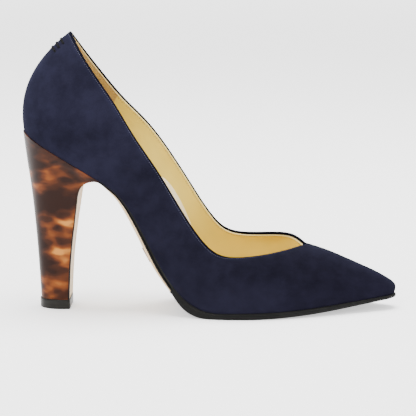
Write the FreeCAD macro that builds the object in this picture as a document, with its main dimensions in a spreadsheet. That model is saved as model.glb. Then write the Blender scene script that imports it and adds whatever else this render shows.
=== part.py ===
"""High heel pump, right shoe.

Frame: +X towards the toe, +Y towards the medial side, +Z up, millimetres.
The origin is on the floor under the middle of the shoe.
The upper and its linings are curved shells that follow one last surface; the boards, pads and
soles are bent sheets cut to the plan of the last; the heel is lofted between D-shaped sections.
"""
import FreeCAD, Part
import math
import os
import Sketcher

V = FreeCAD.Vector
Z_AXIS = V(0, 0, 1)

DIMENSIONS = {
    "suede_thickness": 1.1,
    "stiffener_thickness": 0.6,
    "lining_thickness": 0.8,
    "shank_board_thickness": 1.5,
    "insole_thickness": 1.8,
    "foam_thickness": 2.0,
    "sock_thickness": 0.8,
    "plaque_depth": 3.25,
    "plan_width": 100.0,
    "sole_overhang": 1.0,
    "heel_cover_thickness": 1.2,
    "flap_thickness": 0.9,
    "top_piece_height": 5.3,
    "top_piece_overhang": 0.5,
    "top_piece_edge": 0.6,
    "shank_width": 11.0,
    "shank_thickness": 1.2,
    "rivet_diameter": 4.0,
    "screw_diameter": 4.5,
    "screw_head_diameter": 8.0,
    "screw_length": 32.0,
    "nail_diameter": 1.8,
    "nail_length": 20.0,
    "dowel_diameter": 2.6,
    "dowel_length": 14.0,
    "plaque_length": 9.0,
    "plaque_width": 24.0,
    "plaque_thickness": 0.8,
}

doc = FreeCAD.newDocument("high_heel_pump")
sheet = doc.addObject("Spreadsheet::Sheet", "dimensions")
for row, (alias, value) in enumerate(DIMENSIONS.items(), start=1):
    sheet.set(f"A{row}", alias)
    sheet.set(f"B{row}", str(value))
    sheet.setAlias(f"B{row}", alias)
doc.recompute()


def size(alias):
    """Return a driving dimension from the sheet."""
    return float(sheet.get(alias))


def spline(points, parameters):
    """Return a cubic curve through the points at the given parameters."""
    curve = Part.BSplineCurve()
    curve.interpolate(Points=points, Parameters=list(parameters))
    return curve


def key_curve(rows):
    """Return a curve through rows of (parameter, x, y, z)."""
    return spline([V(*row[1:]) for row in rows], [row[0] for row in rows])


def steps(first, last, count):
    """Return count + 1 evenly spaced values from first to last."""
    return [first + (last - first) * index / count for index in range(count + 1)]


def smooth(value, low, high):
    """Return 0 below low, 1 above high and a smooth rise between them."""
    ratio = min(max((value - low) / (high - low), 0.0), 1.0)
    return ratio * ratio * (3.0 - 2.0 * ratio)


# ---------------------------------------------------------------- the last
# Every station runs from the feather edge, where the upper meets the sole, up to the topline or,
# in front of the throat, to the ridge of the vamp. Its number is 0 at the back seam and 1 at the
# toe tip. Rows hold (station, x, y, z); side is -1 on the lateral side and +1 on the medial side.
THROAT = 0.70
LATERAL, MEDIAL = -1, 1

# Height of the feather edge over the floor along the shoe.
BOTTOM_POINTS = [
    (-102.6, 99.9), (-86.0, 90.3), (-72.3, 82.6), (-59.6, 74.8), (-47.0, 64.3), (-36.7, 47.6),
    (-27.5, 30.2), (-15.0, 12.6), (0.0, 4.0), (12.0, 3.4), (40.0, 3.9), (72.0, 5.8), (105.0, 8.4),
]
bottom_curve = spline([V(x, 0, z) for x, z in BOTTOM_POINTS], [x for x, z in BOTTOM_POINTS])


def seat_height(x):
    """Return the height of the feather edge at x."""
    return bottom_curve.value(min(max(x, -102.6), 105.0)).z


def seat_normal(x):
    """Return the upward normal of the feather profile at x."""
    slope = (seat_height(x + 0.5) - seat_height(x - 0.5))
    return V(-slope, 0, 1).normalize()


FEATHER = {
    LATERAL: key_curve([
        (-0.05, -98.5, 12, 0),
        (0.00, -102.6, 0, 0), (0.05, -98.5, -12, 0), (0.13, -85, -22, 0), (0.20, -70, -25.2, 0),
        (0.28, -54, -23.4, 0), (0.37, -40, -21.5, 0), (0.46, -28, -23.3, 0), (0.54, -12, -29.8, 0),
        (0.60, 3, -34.6, 0), (0.70, 33, -34.6, 0), (0.78, 54, -28.6, 0), (0.87, 76, -18.8, 0),
        (0.95, 97, -8.4, 0), (0.98, 103.2, -4.2, 0), (1.00, 104.8, 0, 0), (1.02, 103.2, 4.2, 0),
    ]),
    MEDIAL: key_curve([
        (-0.05, -98.5, -12, 0),
        (0.00, -102.6, 0, 0), (0.05, -98.5, 12, 0), (0.13, -85, 21.5, 0), (0.20, -70, 24, 0),
        (0.28, -54, 20.8, 0), (0.37, -40, 17.5, 0), (0.46, -28, 18.8, 0), (0.54, -12, 26, 0),
        (0.60, 4, 33.5, 0), (0.70, 33, 37.4, 0), (0.78, 54, 31, 0), (0.87, 76, 20.2, 0),
        (0.95, 97, 8.8, 0), (0.98, 103.2, 4.2, 0), (1.00, 104.8, 0, 0), (1.02, 103.2, -4.2, 0),
    ]),
}
TOPLINE = {
    LATERAL: key_curve([
        (-0.05, -71.3, 8.8, 147.6),
        (0.00, -76.1, 0, 155.4), (0.05, -71.3, -8.8, 147.6), (0.13, -61, -17, 132.5),
        (0.20, -50.8, -21, 118.2), (0.28, -39.8, -23, 100.3), (0.37, -27.5, -24, 82),
        (0.46, -15, -25.5, 61.5), (0.54, 2, -28, 38.5), (0.60, 17, -28.6, 34),
        (0.65, 36, -19.5, 34.6), (0.70, 55, 0, 36.3),
    ]),
    MEDIAL: key_curve([
        (-0.05, -71.3, -8.8, 147.6),
        (0.00, -76.1, 0, 155.4), (0.05, -71.3, 8.8, 147.6), (0.13, -60, 18.6, 131.2),
        (0.20, -49.1, 22.5, 117.3), (0.28, -37, 24.4, 104.6), (0.37, -25, 25.8, 89.3),
        (0.46, -11, 27.2, 67.5), (0.54, 3, 29, 46.5), (0.60, 17, 29.2, 38.3),
        (0.65, 38, 22.6, 38.9), (0.68, 49.2, 13.4, 38.5), (0.70, 55, 0, 36.3),
    ]),
}
RIDGE = key_curve([
    (0.70, 55, 0, 36.3), (0.78, 69.5, 0, 31.5), (0.87, 83.5, 0, 25.6), (0.95, 95.5, 0, 20.2),
    (1.00, 101.5, 0, 16.8),
])
# The poles of the cross lines. The lower pole stands at a share of the height and swells outwards.
# The upper pole reaches outwards from the top and drops back by a share of the chord.
# Rows hold (station, value, value, station).
LOW_POLE = key_curve([
    (0.00, 0.33, 12.0, 0.00), (0.05, 0.33, 9.5, 0.05), (0.13, 0.33, 5.4, 0.13), (0.20, 0.33, 3.7, 0.20),
    (0.32, 0.33, 3.8, 0.32), (0.46, 0.33, 4.0, 0.46), (0.56, 0.36, 3.2, 0.56), (0.63, 0.42, 2.0, 0.63),
    (0.70, 0.46, 1.3, 0.70), (0.80, 0.48, 1.2, 0.80), (0.87, 0.48, 1.2, 0.87), (0.95, 0.45, 1.6, 0.95),
    (1.00, 0.50, 3.0, 1.00),
])
HIGH_POLE = key_curve([
    (0.00, 15.5, 0.33, 0.00), (0.05, 13.0, 0.33, 0.05), (0.13, 9.6, 0.33, 0.13), (0.20, 6.4, 0.33, 0.20),
    (0.32, 4.0, 0.33, 0.32), (0.46, 3.4, 0.33, 0.46), (0.56, 6.5, 0.26, 0.56), (0.63, 13.0, 0.11, 0.63),
    (0.70, 20.0, 0.0, 0.70), (0.80, 15.5, 0.0, 0.80), (0.87, 11.0, 0.0, 0.87), (0.95, 5.2, 0.0, 0.95),
    (1.00, 3.8, 0.0, 1.00),
])


def feather(side, station):
    """Return the feather edge point and its outward direction in plan."""
    curve = FEATHER[side]
    point = curve.value(station)
    along = curve.tangent(station)[0]
    outward = V(-along.y, along.x, 0) * side
    if station == 0.0:
        outward = V(-1, 0, 0)
    if station == 1.0:
        outward = V(1, 0, 0)
    return V(point.x, point.y, seat_height(point.x)), outward.normalize()


def last_point(side, station, rise):
    """Return a point of the last, with rise 0 at the feather edge and 1 at the top."""
    foot, outward = feather(side, station)
    top = TOPLINE[side].value(station) if station < THROAT else RIDGE.value(station)
    chord = top - foot
    share, swell, _ = LOW_POLE.value(station)
    reach, fall, _ = HIGH_POLE.value(station)
    low = foot + V(chord.x / 3, 0, chord.z * share) + outward * swell
    turn = 1 - smooth(station, 0.50, THROAT) + smooth(station, 0.88, 1.0)
    across = V(outward.x * turn, outward.y, 0).normalize()
    slope = RIDGE.tangent(max(station, THROAT))[0]
    across.z = across.x * slope.z / slope.x * smooth(station, 0.60, THROAT)
    high = top - V(chord.x * fall, 0, chord.z * fall) + across * reach
    rest = 1 - rise
    return foot * rest ** 3 + low * (3 * rest * rest * rise) + high * (3 * rest * rise ** 2) + top * rise ** 3


def shell_point(mark, rise, depth):
    """Return a point at a depth under the last surface; mark is the station with the side's sign."""
    side = LATERAL if mark < 0 else MEDIAL
    station = abs(mark)
    gap = 0.004
    here = last_point(side, station, rise)
    if depth == 0:
        return here
    if rise == 1.0 and station >= THROAT:
        ridge = RIDGE.tangent(station)[0]
        return here - V(-ridge.z, 0, ridge.x).normalize() * depth
    before = last_point(side, max(station - gap, 0.0), rise)
    after = last_point(side, min(station + gap, 1.0), rise)
    above = last_point(side, station, min(rise + gap, 1.0))
    below = last_point(side, station, max(rise - gap, 0.0))
    normal = (after - before).cross(above - below) * -side
    if station in (0.0, 1.0):
        normal.y = 0
    return here - normal.normalize() * depth


def grid_surface(points, marks, rises):
    """Return the cubic surface through a grid of points[mark][rise]."""
    rows = [spline([column[index] for column in points], marks) for index in range(len(rises))]
    row_poles = [row.getPoles() for row in rows]
    columns = [spline([poles[index] for poles in row_poles], rises) for index in range(len(row_poles[0]))]
    surface = Part.BSplineSurface()
    surface.buildFromPolesMultsKnots(
        [column.getPoles() for column in columns], rows[0].getMultiplicities(),
        columns[0].getMultiplicities(), rows[0].getKnots(), columns[0].getKnots(),
        False, False, rows[0].Degree, columns[0].Degree)
    return surface


def shell_patch(first, last, low, high, outer, inner, open_edges):
    """Return the faces of one patch of a shell; open_edges names the sides that need a wall."""
    marks = steps(first, last, max(4, round(abs(last - first) / 0.035)))
    reaches = [abs(mark - first) for mark in marks]
    rises = steps(low, high, 6)
    skins = [grid_surface([[shell_point(mark, rise, depth) for rise in rises] for mark in marks],
                          reaches, rises) for depth in (outer, inner)]
    faces = [skin.toShape() for skin in skins]
    cuts = {
        "bottom": [skin.vIso(low) for skin in skins], "top": [skin.vIso(high) for skin in skins],
        "start": [skin.uIso(0.0) for skin in skins], "end": [skin.uIso(reaches[-1]) for skin in skins],
    }
    for name in open_edges:
        outer_edge, inner_edge = [curve.toShape() for curve in cuts[name]]
        faces.append(Part.makeRuledSurface(outer_edge, inner_edge))
    return faces


def add_shape(label, shape):
    """Add a computed shape as a sub-part."""
    part = doc.addObject("Part::Feature", label)
    part.Label = label
    part.Shape = shape
    part.Placement = FreeCAD.Placement()
    return part


def sewn_solid(faces):
    """Return the solid that the faces close."""
    shell = Part.makeCompound(faces)
    shell.sewShape(0.001)
    solid = Part.Solid(shell.Shells[0])
    if solid.Volume < 0:
        solid.reverse()
    return solid


def add_wall(label, first, last, low, high, outer, inner):
    """Add a shell piece that covers one stretch of wall behind the throat."""
    faces = shell_patch(first, last, low, high, outer, inner, ("bottom", "top", "start", "end"))
    return add_shape(label, sewn_solid(faces))


def add_vamp(label, back, front, outer, inner):
    """Add a shell piece that goes over the vamp ridge from one feather edge to the other."""
    faces = []
    for side in (LATERAL, MEDIAL):
        walls = ["bottom", "start"]
        if front < 1.0:
            walls.append("end")
        faces += shell_patch(side * back, side * front, 0.0, 1.0, outer, inner, walls)
    return add_shape(label, sewn_solid(faces))


suede_inside = size("suede_thickness")
stiffener_inside = suede_inside + size("stiffener_thickness")
lining_inside = stiffener_inside + size("lining_thickness")


def add_upper():
    """Add the one-piece suede upper."""
    faces = shell_patch(-THROAT, THROAT, 0.0, 1.0, 0.0, suede_inside, ("bottom", "top"))
    for side in (LATERAL, MEDIAL):
        faces += shell_patch(side * THROAT, side * 1.0, 0.0, 1.0, 0.0, suede_inside, ("bottom",))
    return add_shape("upper_suede", sewn_solid(faces))


COUNTER_END, GRIP_END, TAPE_END, PUFF_START = 0.26, 0.19, 0.69, 0.87
TAPE_LOW, TAPE_HIGH = 0.88, 0.965

add_upper()
add_wall("heel_counter", -COUNTER_END, COUNTER_END, 0.0, TAPE_LOW, suede_inside, stiffener_inside)
add_wall("quarter_backer_lateral", -THROAT, -COUNTER_END, 0.0, TAPE_LOW, suede_inside, stiffener_inside)
add_wall("quarter_backer_medial", COUNTER_END, THROAT, 0.0, TAPE_LOW, suede_inside, stiffener_inside)
add_wall("topline_tape", -TAPE_END, TAPE_END, TAPE_LOW, TAPE_HIGH, suede_inside, stiffener_inside)
add_vamp("vamp_backer", THROAT, PUFF_START, suede_inside, stiffener_inside)
add_vamp("toe_puff", PUFF_START, 1.0, suede_inside, stiffener_inside)
add_wall("heel_grip_lining", -GRIP_END, GRIP_END, 0.0, 1.0, stiffener_inside, lining_inside)
add_wall("quarter_lining_lateral", -THROAT, -GRIP_END, 0.0, 1.0, stiffener_inside, lining_inside)
add_wall("quarter_lining_medial", GRIP_END, THROAT, 0.0, 1.0, stiffener_inside, lining_inside)
add_vamp("vamp_lining", THROAT, 1.0, stiffener_inside, lining_inside)
add_wall("back_tab", -0.035, 0.035, 0.86, 0.98, lining_inside, lining_inside + 0.7)
add_wall("arch_pad", 0.36, 0.56, 0.22, 0.70, lining_inside, lining_inside + 2.5)


def add_bar_tacks():
    """Add the three bar stitches that lie over the back seam."""
    tacks = []
    for rise in (0.80, 0.86, 0.92):
        middle = last_point(LATERAL, 0.0, rise)
        tangent = (last_point(LATERAL, 0.0, rise + 0.01) - middle).normalize()
        outward = V(-tangent.z, 0, tangent.x)
        turn = FreeCAD.Rotation(V(0, 1, 0), tangent, outward, "ZXY")
        tack = doc.addObject("Part::Box", "bar_tack")
        tack.Length = 6.0
        tack.Width = 1.2
        tack.Height = 0.8
        spot = middle - V(0, 3, 0) - tangent * 0.6
        tack.Placement = FreeCAD.Placement(spot, turn)
        tacks.append(tack)
    group = doc.addObject("Part::Compound", "back_bar_tacks")
    group.Links = tacks
    group.Label = "back_bar_tacks"
    return group


# ---------------------------------------------------------------- sketches and bodies
def add_body(label):
    """Add an empty body with its label."""
    body = doc.addObject("PartDesign::Body", label)
    body.Label = label
    return body


def add_sketch(body, name, role, offset=FreeCAD.Placement()):
    """Add a sketch on one of the body's own origin planes."""
    sketch = body.newObject("Sketcher::SketchObject", name)
    plane = next(item for item in body.Origin.OriginFeatures if item.Role == role)
    sketch.AttachmentSupport = [(plane, "")]
    sketch.MapMode = "FlatFace"
    sketch.AttachmentOffset = offset
    return sketch


def draw_polygon(sketch, corners):
    """Draw a closed outline of straight lines."""
    for start, end in zip(corners, corners[1:] + corners[:1]):
        sketch.addGeometry(Part.LineSegment(start, end))


def offset_line(first, last, distance, count=16):
    """Return the feather profile between two x, moved along its normal, in sketch coordinates."""
    places = steps(first, last, count)
    points = []
    for x in places:
        moved = V(x, 0, seat_height(x)) + seat_normal(x) * distance
        points.append(V(moved.x, moved.z, 0))
    return spline(points, places)


def draw_strip(sketch, lower, upper):
    """Draw the closed outline between two open curves that run the same way."""
    sketch.addGeometry(lower)
    sketch.addGeometry(upper)
    sketch.addGeometry(Part.LineSegment(lower.StartPoint, upper.StartPoint))
    sketch.addGeometry(Part.LineSegment(lower.EndPoint, upper.EndPoint))


def add_pad(body, sketch, length):
    """Pad a sketch evenly to both sides; length is an expression."""
    pad = body.newObject("PartDesign::Pad", "pad")
    pad.Profile = sketch
    pad.SideType = "Symmetric"
    pad.setExpression("Length", length)
    sketch.Visibility = False
    return pad


def cut_through(body, sketch):
    """Pocket a sketch right through the body, to both sides."""
    pocket = body.newObject("PartDesign::Pocket", "pocket")
    pocket.Profile = sketch
    pocket.SideType = "Symmetric"
    pocket.Length = 400.0
    return pocket


def plan_outline(inset):
    """Return the closed plan outline of the last, moved inwards by inset."""
    points = []
    for side, stations in ((LATERAL, steps(0.0, 1.0, 20)), (MEDIAL, steps(1.0, 0.0, 20)[1:-1])):
        for station in stations:
            foot, outward = feather(side, station)
            moved = foot - outward * inset
            points.append(V(moved.x, moved.y, 0))
    outline = Part.BSplineCurve()
    outline.interpolate(Points=points, PeriodicFlag=True)
    return outline


def trim_to_plan(body, inset):
    """Cut away everything outside the plan outline of the last."""
    sketch = add_sketch(body, "plan", "XY_Plane")
    draw_polygon(sketch, [V(-150, -80, 0), V(150, -80, 0), V(150, 80, 0), V(-150, 80, 0)])
    sketch.addGeometry(plan_outline(inset))
    return cut_through(body, sketch)


def drill(body, spots, diameter, top, depth):
    """Drill round holes downwards from a height; diameter is an expression."""
    sketch = add_sketch(body, "holes", "XY_Plane", FreeCAD.Placement(V(0, 0, top), FreeCAD.Rotation()))
    for x, y in spots:
        index = sketch.addGeometry(Part.Circle(V(x, y, 0), Z_AXIS, 1.0))
        rule = sketch.addConstraint(Sketcher.Constraint("Diameter", index, 2.0))
        sketch.setExpression(f"Constraints[{rule}]", diameter)
    pocket = body.newObject("PartDesign::Pocket", "holes_pocket")
    pocket.Profile = sketch
    pocket.Length = depth
    return pocket


def add_bent_sheet(label, first, last, low, high, inset):
    """Add a sheet that follows the feather profile, trimmed to the plan."""
    body = add_body(label)
    sketch = add_sketch(body, "profile", "XZ_Plane")
    draw_strip(sketch, offset_line(first, last, low), offset_line(first, last, high))
    add_pad(body, sketch, "dimensions.plan_width")
    trim_to_plan(body, inset)
    return body


# ---------------------------------------------------------------- insole, pads and sock
board_top = size("shank_board_thickness")
insole_top = board_top + size("insole_thickness")
foam_top = insole_top + size("foam_thickness")
sock_top = foam_top + size("sock_thickness")
inner_gap = lining_inside + 0.4

SCREW_SPOT = (-83.0, 0.0)
NAIL_SPOTS = [(-92.0, -7.0), (-92.0, 7.0), (-76.0, -13.0), (-76.0, 13.0)]
DOWEL_SPOTS = [(-90.0, 0.0), (-82.0, 0.0)]
SHANK_BACK, SHANK_FRONT = -68.0, -6.0
RIVET_SPOTS = [(-62.0, 0.0), (-9.0, 0.0)]


def add_insole_parts():
    """Add the boards, the filler, the foam pads and the sock lining."""
    nail = "dimensions.nail_diameter"
    screw = "dimensions.screw_diameter"
    board = add_bent_sheet("shank_board", -98.0, -3.0, 0.0, board_top, inner_gap)
    slot = add_sketch(board, "slot", "XY_Plane")
    half = size("shank_width") / 2 + 0.05
    draw_polygon(slot, [V(SHANK_BACK - 1, -half, 0), V(SHANK_FRONT + 1, -half, 0),
                        V(SHANK_FRONT + 1, half, 0), V(SHANK_BACK - 1, half, 0)])
    cut_through(board, slot)
    drill(board, NAIL_SPOTS, nail, 130, 100)
    drill(board, [SCREW_SPOT], screw, 130, 100)
    insole = add_bent_sheet("insole_board", -98.5, 98.0, board_top, insole_top, inner_gap)
    drill(insole, NAIL_SPOTS, nail, 130, 100)
    drill(insole, [SCREW_SPOT], "dimensions.screw_head_diameter", 130, 100)
    drill(insole, RIVET_SPOTS, "dimensions.rivet_diameter", 130, 130)
    add_bent_sheet("bottom_filler", -2.0, 90.0, 0.0, board_top, inner_gap + 7.0)
    add_bent_sheet("heel_foam_pad", -96.5, -50.0, insole_top, foam_top, inner_gap + 1.5)
    add_bent_sheet("ball_foam_pad", -20.0, 70.0, insole_top, foam_top, inner_gap + 3.0)
    add_bent_sheet("sock_lining", -97.5, 90.0, foam_top, sock_top, inner_gap + 1.0)


def add_shank():
    """Add the steel shank and the rivets that hold it to the insole board."""
    body = add_body("steel_shank")
    sketch = add_sketch(body, "profile", "XZ_Plane")
    top = size("shank_thickness") + 0.2
    draw_strip(sketch, offset_line(SHANK_BACK, SHANK_FRONT, 0.2), offset_line(SHANK_BACK, SHANK_FRONT, top))
    add_pad(body, sketch, "dimensions.shank_width")
    drill(body, RIVET_SPOTS, "dimensions.rivet_diameter", 130, 130)
    rivets = []
    for x, y in RIVET_SPOTS:
        rivet = doc.addObject("Part::Cylinder", "rivet")
        rivet.setExpression("Radius", "dimensions.rivet_diameter / 2 - 0.05")
        rivet.Height = insole_top - 0.5
        normal = seat_normal(x)
        rivet.Placement = FreeCAD.Placement(V(x, y, seat_height(x)) + normal * 0.3,
                                            FreeCAD.Rotation(Z_AXIS, normal))
        rivets.append(rivet)
    group = doc.addObject("Part::Compound", "shank_rivets")
    group.Links = rivets
    group.Label = "shank_rivets"
    return body, group


# ---------------------------------------------------------------- heel
# Heights of the heel's sections with the front x, the back x, the half width at the front and the
# half width at mid depth. The upper sections run past the breast, which is cut to its line.
HEEL_SECTIONS = [
    (5.3, -78.3, -94.2, 10.0, 9.6),
    (30.0, -76.9, -95.6, 11.4, 10.8),
    (52.0, -74.3, -97.3, 13.8, 12.8),
    (64.0, -69.5, -98.5, 18.0, 15.6),
    (76.0, -58.5, -100.2, 23.6, 20.0),
    (101.0, -56.0, -103.2, 25.2, 22.4),
]
# The heel breast in side view, from the foot of the heel to its front tip under the seat.
BREAST = [(-78.3, 5.3), (-76.9, 30.0), (-75.4, 43.1), (-72.7, 62.6), (-71.8, 67.4), (-69.4, 71.8),
          (-66.9, 73.7), (-64.0, 74.7)]
HEEL_TIP = -60.3


def run_spline(points):
    """Return a cubic curve through the points, keyed by the distance along them."""
    keys = [0.0]
    for first, last in zip(points, points[1:]):
        keys.append(keys[-1] + (last - first).Length)
    return spline(points, keys)


def breast_line():
    """Return the breast's line up to the seat."""
    return run_spline([V(x, z, 0) for x, z in BREAST] + [V(HEEL_TIP, seat_height(HEEL_TIP), 0)])


def draw_d_section(sketch, front, back, front_half, middle_half):
    """Draw a D: a straight breast and a round back."""
    depth = front - back
    points = [
        V(front, front_half, 0), V(front - 0.48 * depth, middle_half, 0),
        V(front - 0.86 * depth, 0.62 * middle_half, 0), V(back, 0, 0),
        V(front - 0.86 * depth, -0.62 * middle_half, 0), V(front - 0.48 * depth, -middle_half, 0),
        V(front, -front_half, 0),
    ]
    sketch.addGeometry(spline(points, range(len(points))))
    sketch.addGeometry(Part.LineSegment(points[-1], points[0]))


def add_heel_loft(body, kind, inset):
    """Loft the heel's sections, moved inwards by inset on the back and the sides."""
    sketches = []
    for height, front, back, front_half, middle_half in HEEL_SECTIONS:
        sketch = add_sketch(body, "section", "XY_Plane",
                            FreeCAD.Placement(V(0, 0, height), FreeCAD.Rotation()))
        draw_d_section(sketch, front, back + inset, front_half - inset, middle_half - inset)
        sketches.append(sketch)
    loft = body.newObject(kind, "loft")
    loft.Profile = sketches[0]
    loft.Sections = sketches[1:]
    return loft


def trim_to_seat(body):
    """Cut the heel off along the feather profile."""
    sketch = add_sketch(body, "seat", "XZ_Plane")
    line = offset_line(-102.6, HEEL_TIP, 0.0)
    sketch.addGeometry(line)
    start, end = line.StartPoint, line.EndPoint
    corners = [end, V(-50, 130, 0), V(-115, 130, 0), V(-115, start.y + 4, 0), start]
    for first, last in zip(corners, corners[1:]):
        sketch.addGeometry(Part.LineSegment(first, last))
    return cut_through(body, sketch)


def trim_to_breast(body):
    """Cut away what stands in front of the breast line."""
    sketch = add_sketch(body, "breast", "XZ_Plane")
    line = breast_line()
    sketch.addGeometry(line)
    start, end = line.StartPoint, line.EndPoint
    corners = [end, V(end.x, 130, 0), V(-40, 130, 0), V(-40, 0, 0), V(start.x, 0, 0), start]
    for first, last in zip(corners, corners[1:]):
        sketch.addGeometry(Part.LineSegment(first, last))
    return cut_through(body, sketch)


def add_heel():
    """Add the heel's core and its cover."""
    cover_thickness = size("heel_cover_thickness")
    core = add_body("heel_core")
    add_heel_loft(core, "PartDesign::AdditiveLoft", cover_thickness)
    trim_to_seat(core)
    trim_to_breast(core)
    drill(core, [SCREW_SPOT], "dimensions.screw_diameter", 130, 130 - 60)
    drill(core, NAIL_SPOTS[:2], "dimensions.nail_diameter", 130, 130 - 74)
    drill(core, NAIL_SPOTS[2:], "dimensions.nail_diameter", 130, 130 - 66)
    dowel_top = 2.0 + size("dowel_length")
    drill(core, DOWEL_SPOTS, "dimensions.dowel_diameter", dowel_top, 14)
    cover = add_body("heel_cover")
    add_heel_loft(cover, "PartDesign::AdditiveLoft", 0.0)
    doc.recompute()
    add_heel_loft(cover, "PartDesign::SubtractiveLoft", cover_thickness)
    trim_to_seat(cover)
    trim_to_breast(cover)
    return core, cover


def add_top_piece():
    """Add the heel tip and the dowels that hold it."""
    body = add_body("top_piece")
    sketch = add_sketch(body, "outline", "XY_Plane")
    over = size("top_piece_overhang")
    foot = HEEL_SECTIONS[0]
    front = foot[1] + size("flap_thickness")
    draw_d_section(sketch, front, foot[2] - over, foot[3] + over, foot[4] + over)
    pad = body.newObject("PartDesign::Pad", "pad")
    pad.Profile = sketch
    pad.setExpression("Length", "dimensions.top_piece_height")
    doc.recompute()
    fillet = body.newObject("PartDesign::Fillet", "edge")
    rims = [f"Edge{index + 1}" for index, edge in enumerate(pad.Shape.Edges)
            if max(abs(vertex.Z) for vertex in edge.Vertexes) < 0.001]
    fillet.Base = (pad, rims)
    fillet.setExpression("Radius", "dimensions.top_piece_edge")
    drill(body, DOWEL_SPOTS, "dimensions.dowel_diameter", 10, 8)
    dowels = []
    for x, y in DOWEL_SPOTS:
        dowel = doc.addObject("Part::Cylinder", "dowel")
        dowel.setExpression("Radius", "dimensions.dowel_diameter / 2")
        dowel.setExpression("Height", "dimensions.dowel_length")
        dowel.Placement.Base = V(x, y, 2.0)
        dowels.append(dowel)
    group = doc.addObject("Part::Compound", "top_piece_dowels")
    group.Links = dowels
    group.Label = "top_piece_dowels"
    return body, group


def add_heel_fasteners():
    """Add the screw and the nails that hold the heel to the boards."""
    x, y = SCREW_SPOT
    head_z = seat_height(x) + board_top + 1.0
    stem = doc.addObject("Part::Cylinder", "screw_stem")
    stem.setExpression("Radius", "dimensions.screw_diameter / 2")
    stem.setExpression("Height", "dimensions.screw_length - 4")
    stem.Placement.Base = V(x, y, 62.0)
    head = doc.addObject("Part::Cylinder", "screw_head")
    head.setExpression("Radius", "dimensions.screw_head_diameter / 2 - 0.4")
    head.Height = 1.2
    head.Placement.Base = V(x, y, 62.0 + size("screw_length") - 4)
    screw = doc.addObject("Part::Fuse", "heel_screw")
    screw.Base = stem
    screw.Tool = head
    screw.Label = "heel_screw"
    nails = []
    for x, y in NAIL_SPOTS:
        nail = doc.addObject("Part::Cylinder", "nail")
        nail.setExpression("Radius", "dimensions.nail_diameter / 2")
        nail.setExpression("Height", "dimensions.nail_length")
        nail.Placement.Base = V(x, y, seat_height(x) + insole_top - size("nail_length"))
        nails.append(nail)
    group = doc.addObject("Part::Compound", "heel_nails")
    group.Links = nails
    group.Label = "heel_nails"
    return screw, group


# ---------------------------------------------------------------- soles
STEP_X = -19.6
# The outsole's thickness along the waist, as (x, thickness).
OUTSOLE_DEPTHS = [(HEEL_TIP, 0.9), (-55.0, 1.15), (-50.0, 1.5), (-42.0, 2.1), (-36.0, 2.45),
                  (-30.0, 2.7), (-24.0, 2.85), (STEP_X + 1.6, 2.9)]


def add_outsole():
    """Add the leather outsole: the waist and the flap down the heel breast, in one piece."""
    body = add_body("outsole_leather")
    sketch = add_sketch(body, "profile", "XZ_Plane")
    flap = size("flap_thickness")
    top = offset_line(HEEL_TIP, STEP_X + 1.6, 0.0)
    lower = [V(x, 0, seat_height(x)) - seat_normal(x) * depth for x, depth in OUTSOLE_DEPTHS]
    bottom = run_spline([V(point.x, point.z, 0) for point in lower])
    back_line = breast_line()
    face = [V(x + flap, z, 0) for x, z in BREAST[:4]]
    crown = [V(-71.0, 66.9, 0), V(-68.9, 71.0, 0), V(-66.6, 72.8, 0), V(-63.9, 73.8, 0), bottom.StartPoint]
    front_line = run_spline(face + crown)
    sketch.addGeometry(top)
    sketch.addGeometry(bottom)
    sketch.addGeometry(back_line)
    sketch.addGeometry(front_line)
    sketch.addGeometry(Part.LineSegment(back_line.StartPoint, front_line.StartPoint))
    sketch.addGeometry(Part.LineSegment(top.EndPoint, bottom.EndPoint))
    add_pad(body, sketch, "dimensions.plan_width")
    trim_to_plan(body, 0.3)
    front_view = add_sketch(body, "flap", "YZ_Plane", FreeCAD.Placement(V(0, 0, -66.0), FreeCAD.Rotation()))
    half = [V(10.0, 5.3, 0), V(11.4, 30, 0), V(12.6, 43, 0), V(16.6, 62.6, 0), V(18.2, 67.4, 0),
            V(20.3, 71.8, 0), V(23.0, 74.7, 0)]
    edge = [V(60, 0, 0), V(half[0].x, 0, 0)] + half + [V(23.0, 79, 0), V(60, 79, 0)]
    for sign in (-1, 1):
        draw_polygon(front_view, [V(point.x * sign, point.y, 0) for point in edge])
    pocket = body.newObject("PartDesign::Pocket", "flap_pocket")
    pocket.Profile = front_view
    pocket.Length = 30.0
    return body


FLOOR_BACK, FLOOR_FRONT = 2.0, 22.0


def add_rubber_sole():
    """Add the rubber forefoot sole, flat on the floor under the ball."""
    body = add_body("forefoot_rubber_sole")
    sketch = add_sketch(body, "profile", "XZ_Plane")
    top = offset_line(STEP_X + 2.2, 105.0, 0.0)
    sketch.addGeometry(top)
    heel_end = [(STEP_X - 0.6, 12.2), (-15.5, 7.0), (-9.5, 2.4), (-3.5, 0.35), (FLOOR_BACK, 0.0)]
    toe_end = [(FLOOR_FRONT, 0.0), (41, 0.55), (60, 1.7), (80, 3.7), (95, 5.4), (105, 6.4)]
    back = spline([V(x, z, 0) for x, z in heel_end], [x for x, z in heel_end])
    front = spline([V(x, z, 0) for x, z in toe_end], [x for x, z in toe_end])
    sketch.addGeometry(back)
    sketch.addGeometry(Part.LineSegment(back.EndPoint, front.StartPoint))
    sketch.addGeometry(front)
    sketch.addGeometry(Part.LineSegment(back.StartPoint, top.StartPoint))
    sketch.addGeometry(Part.LineSegment(front.EndPoint, top.EndPoint))
    add_pad(body, sketch, "dimensions.plan_width")
    trim_to_plan(body, -size("sole_overhang"))
    return body


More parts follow.
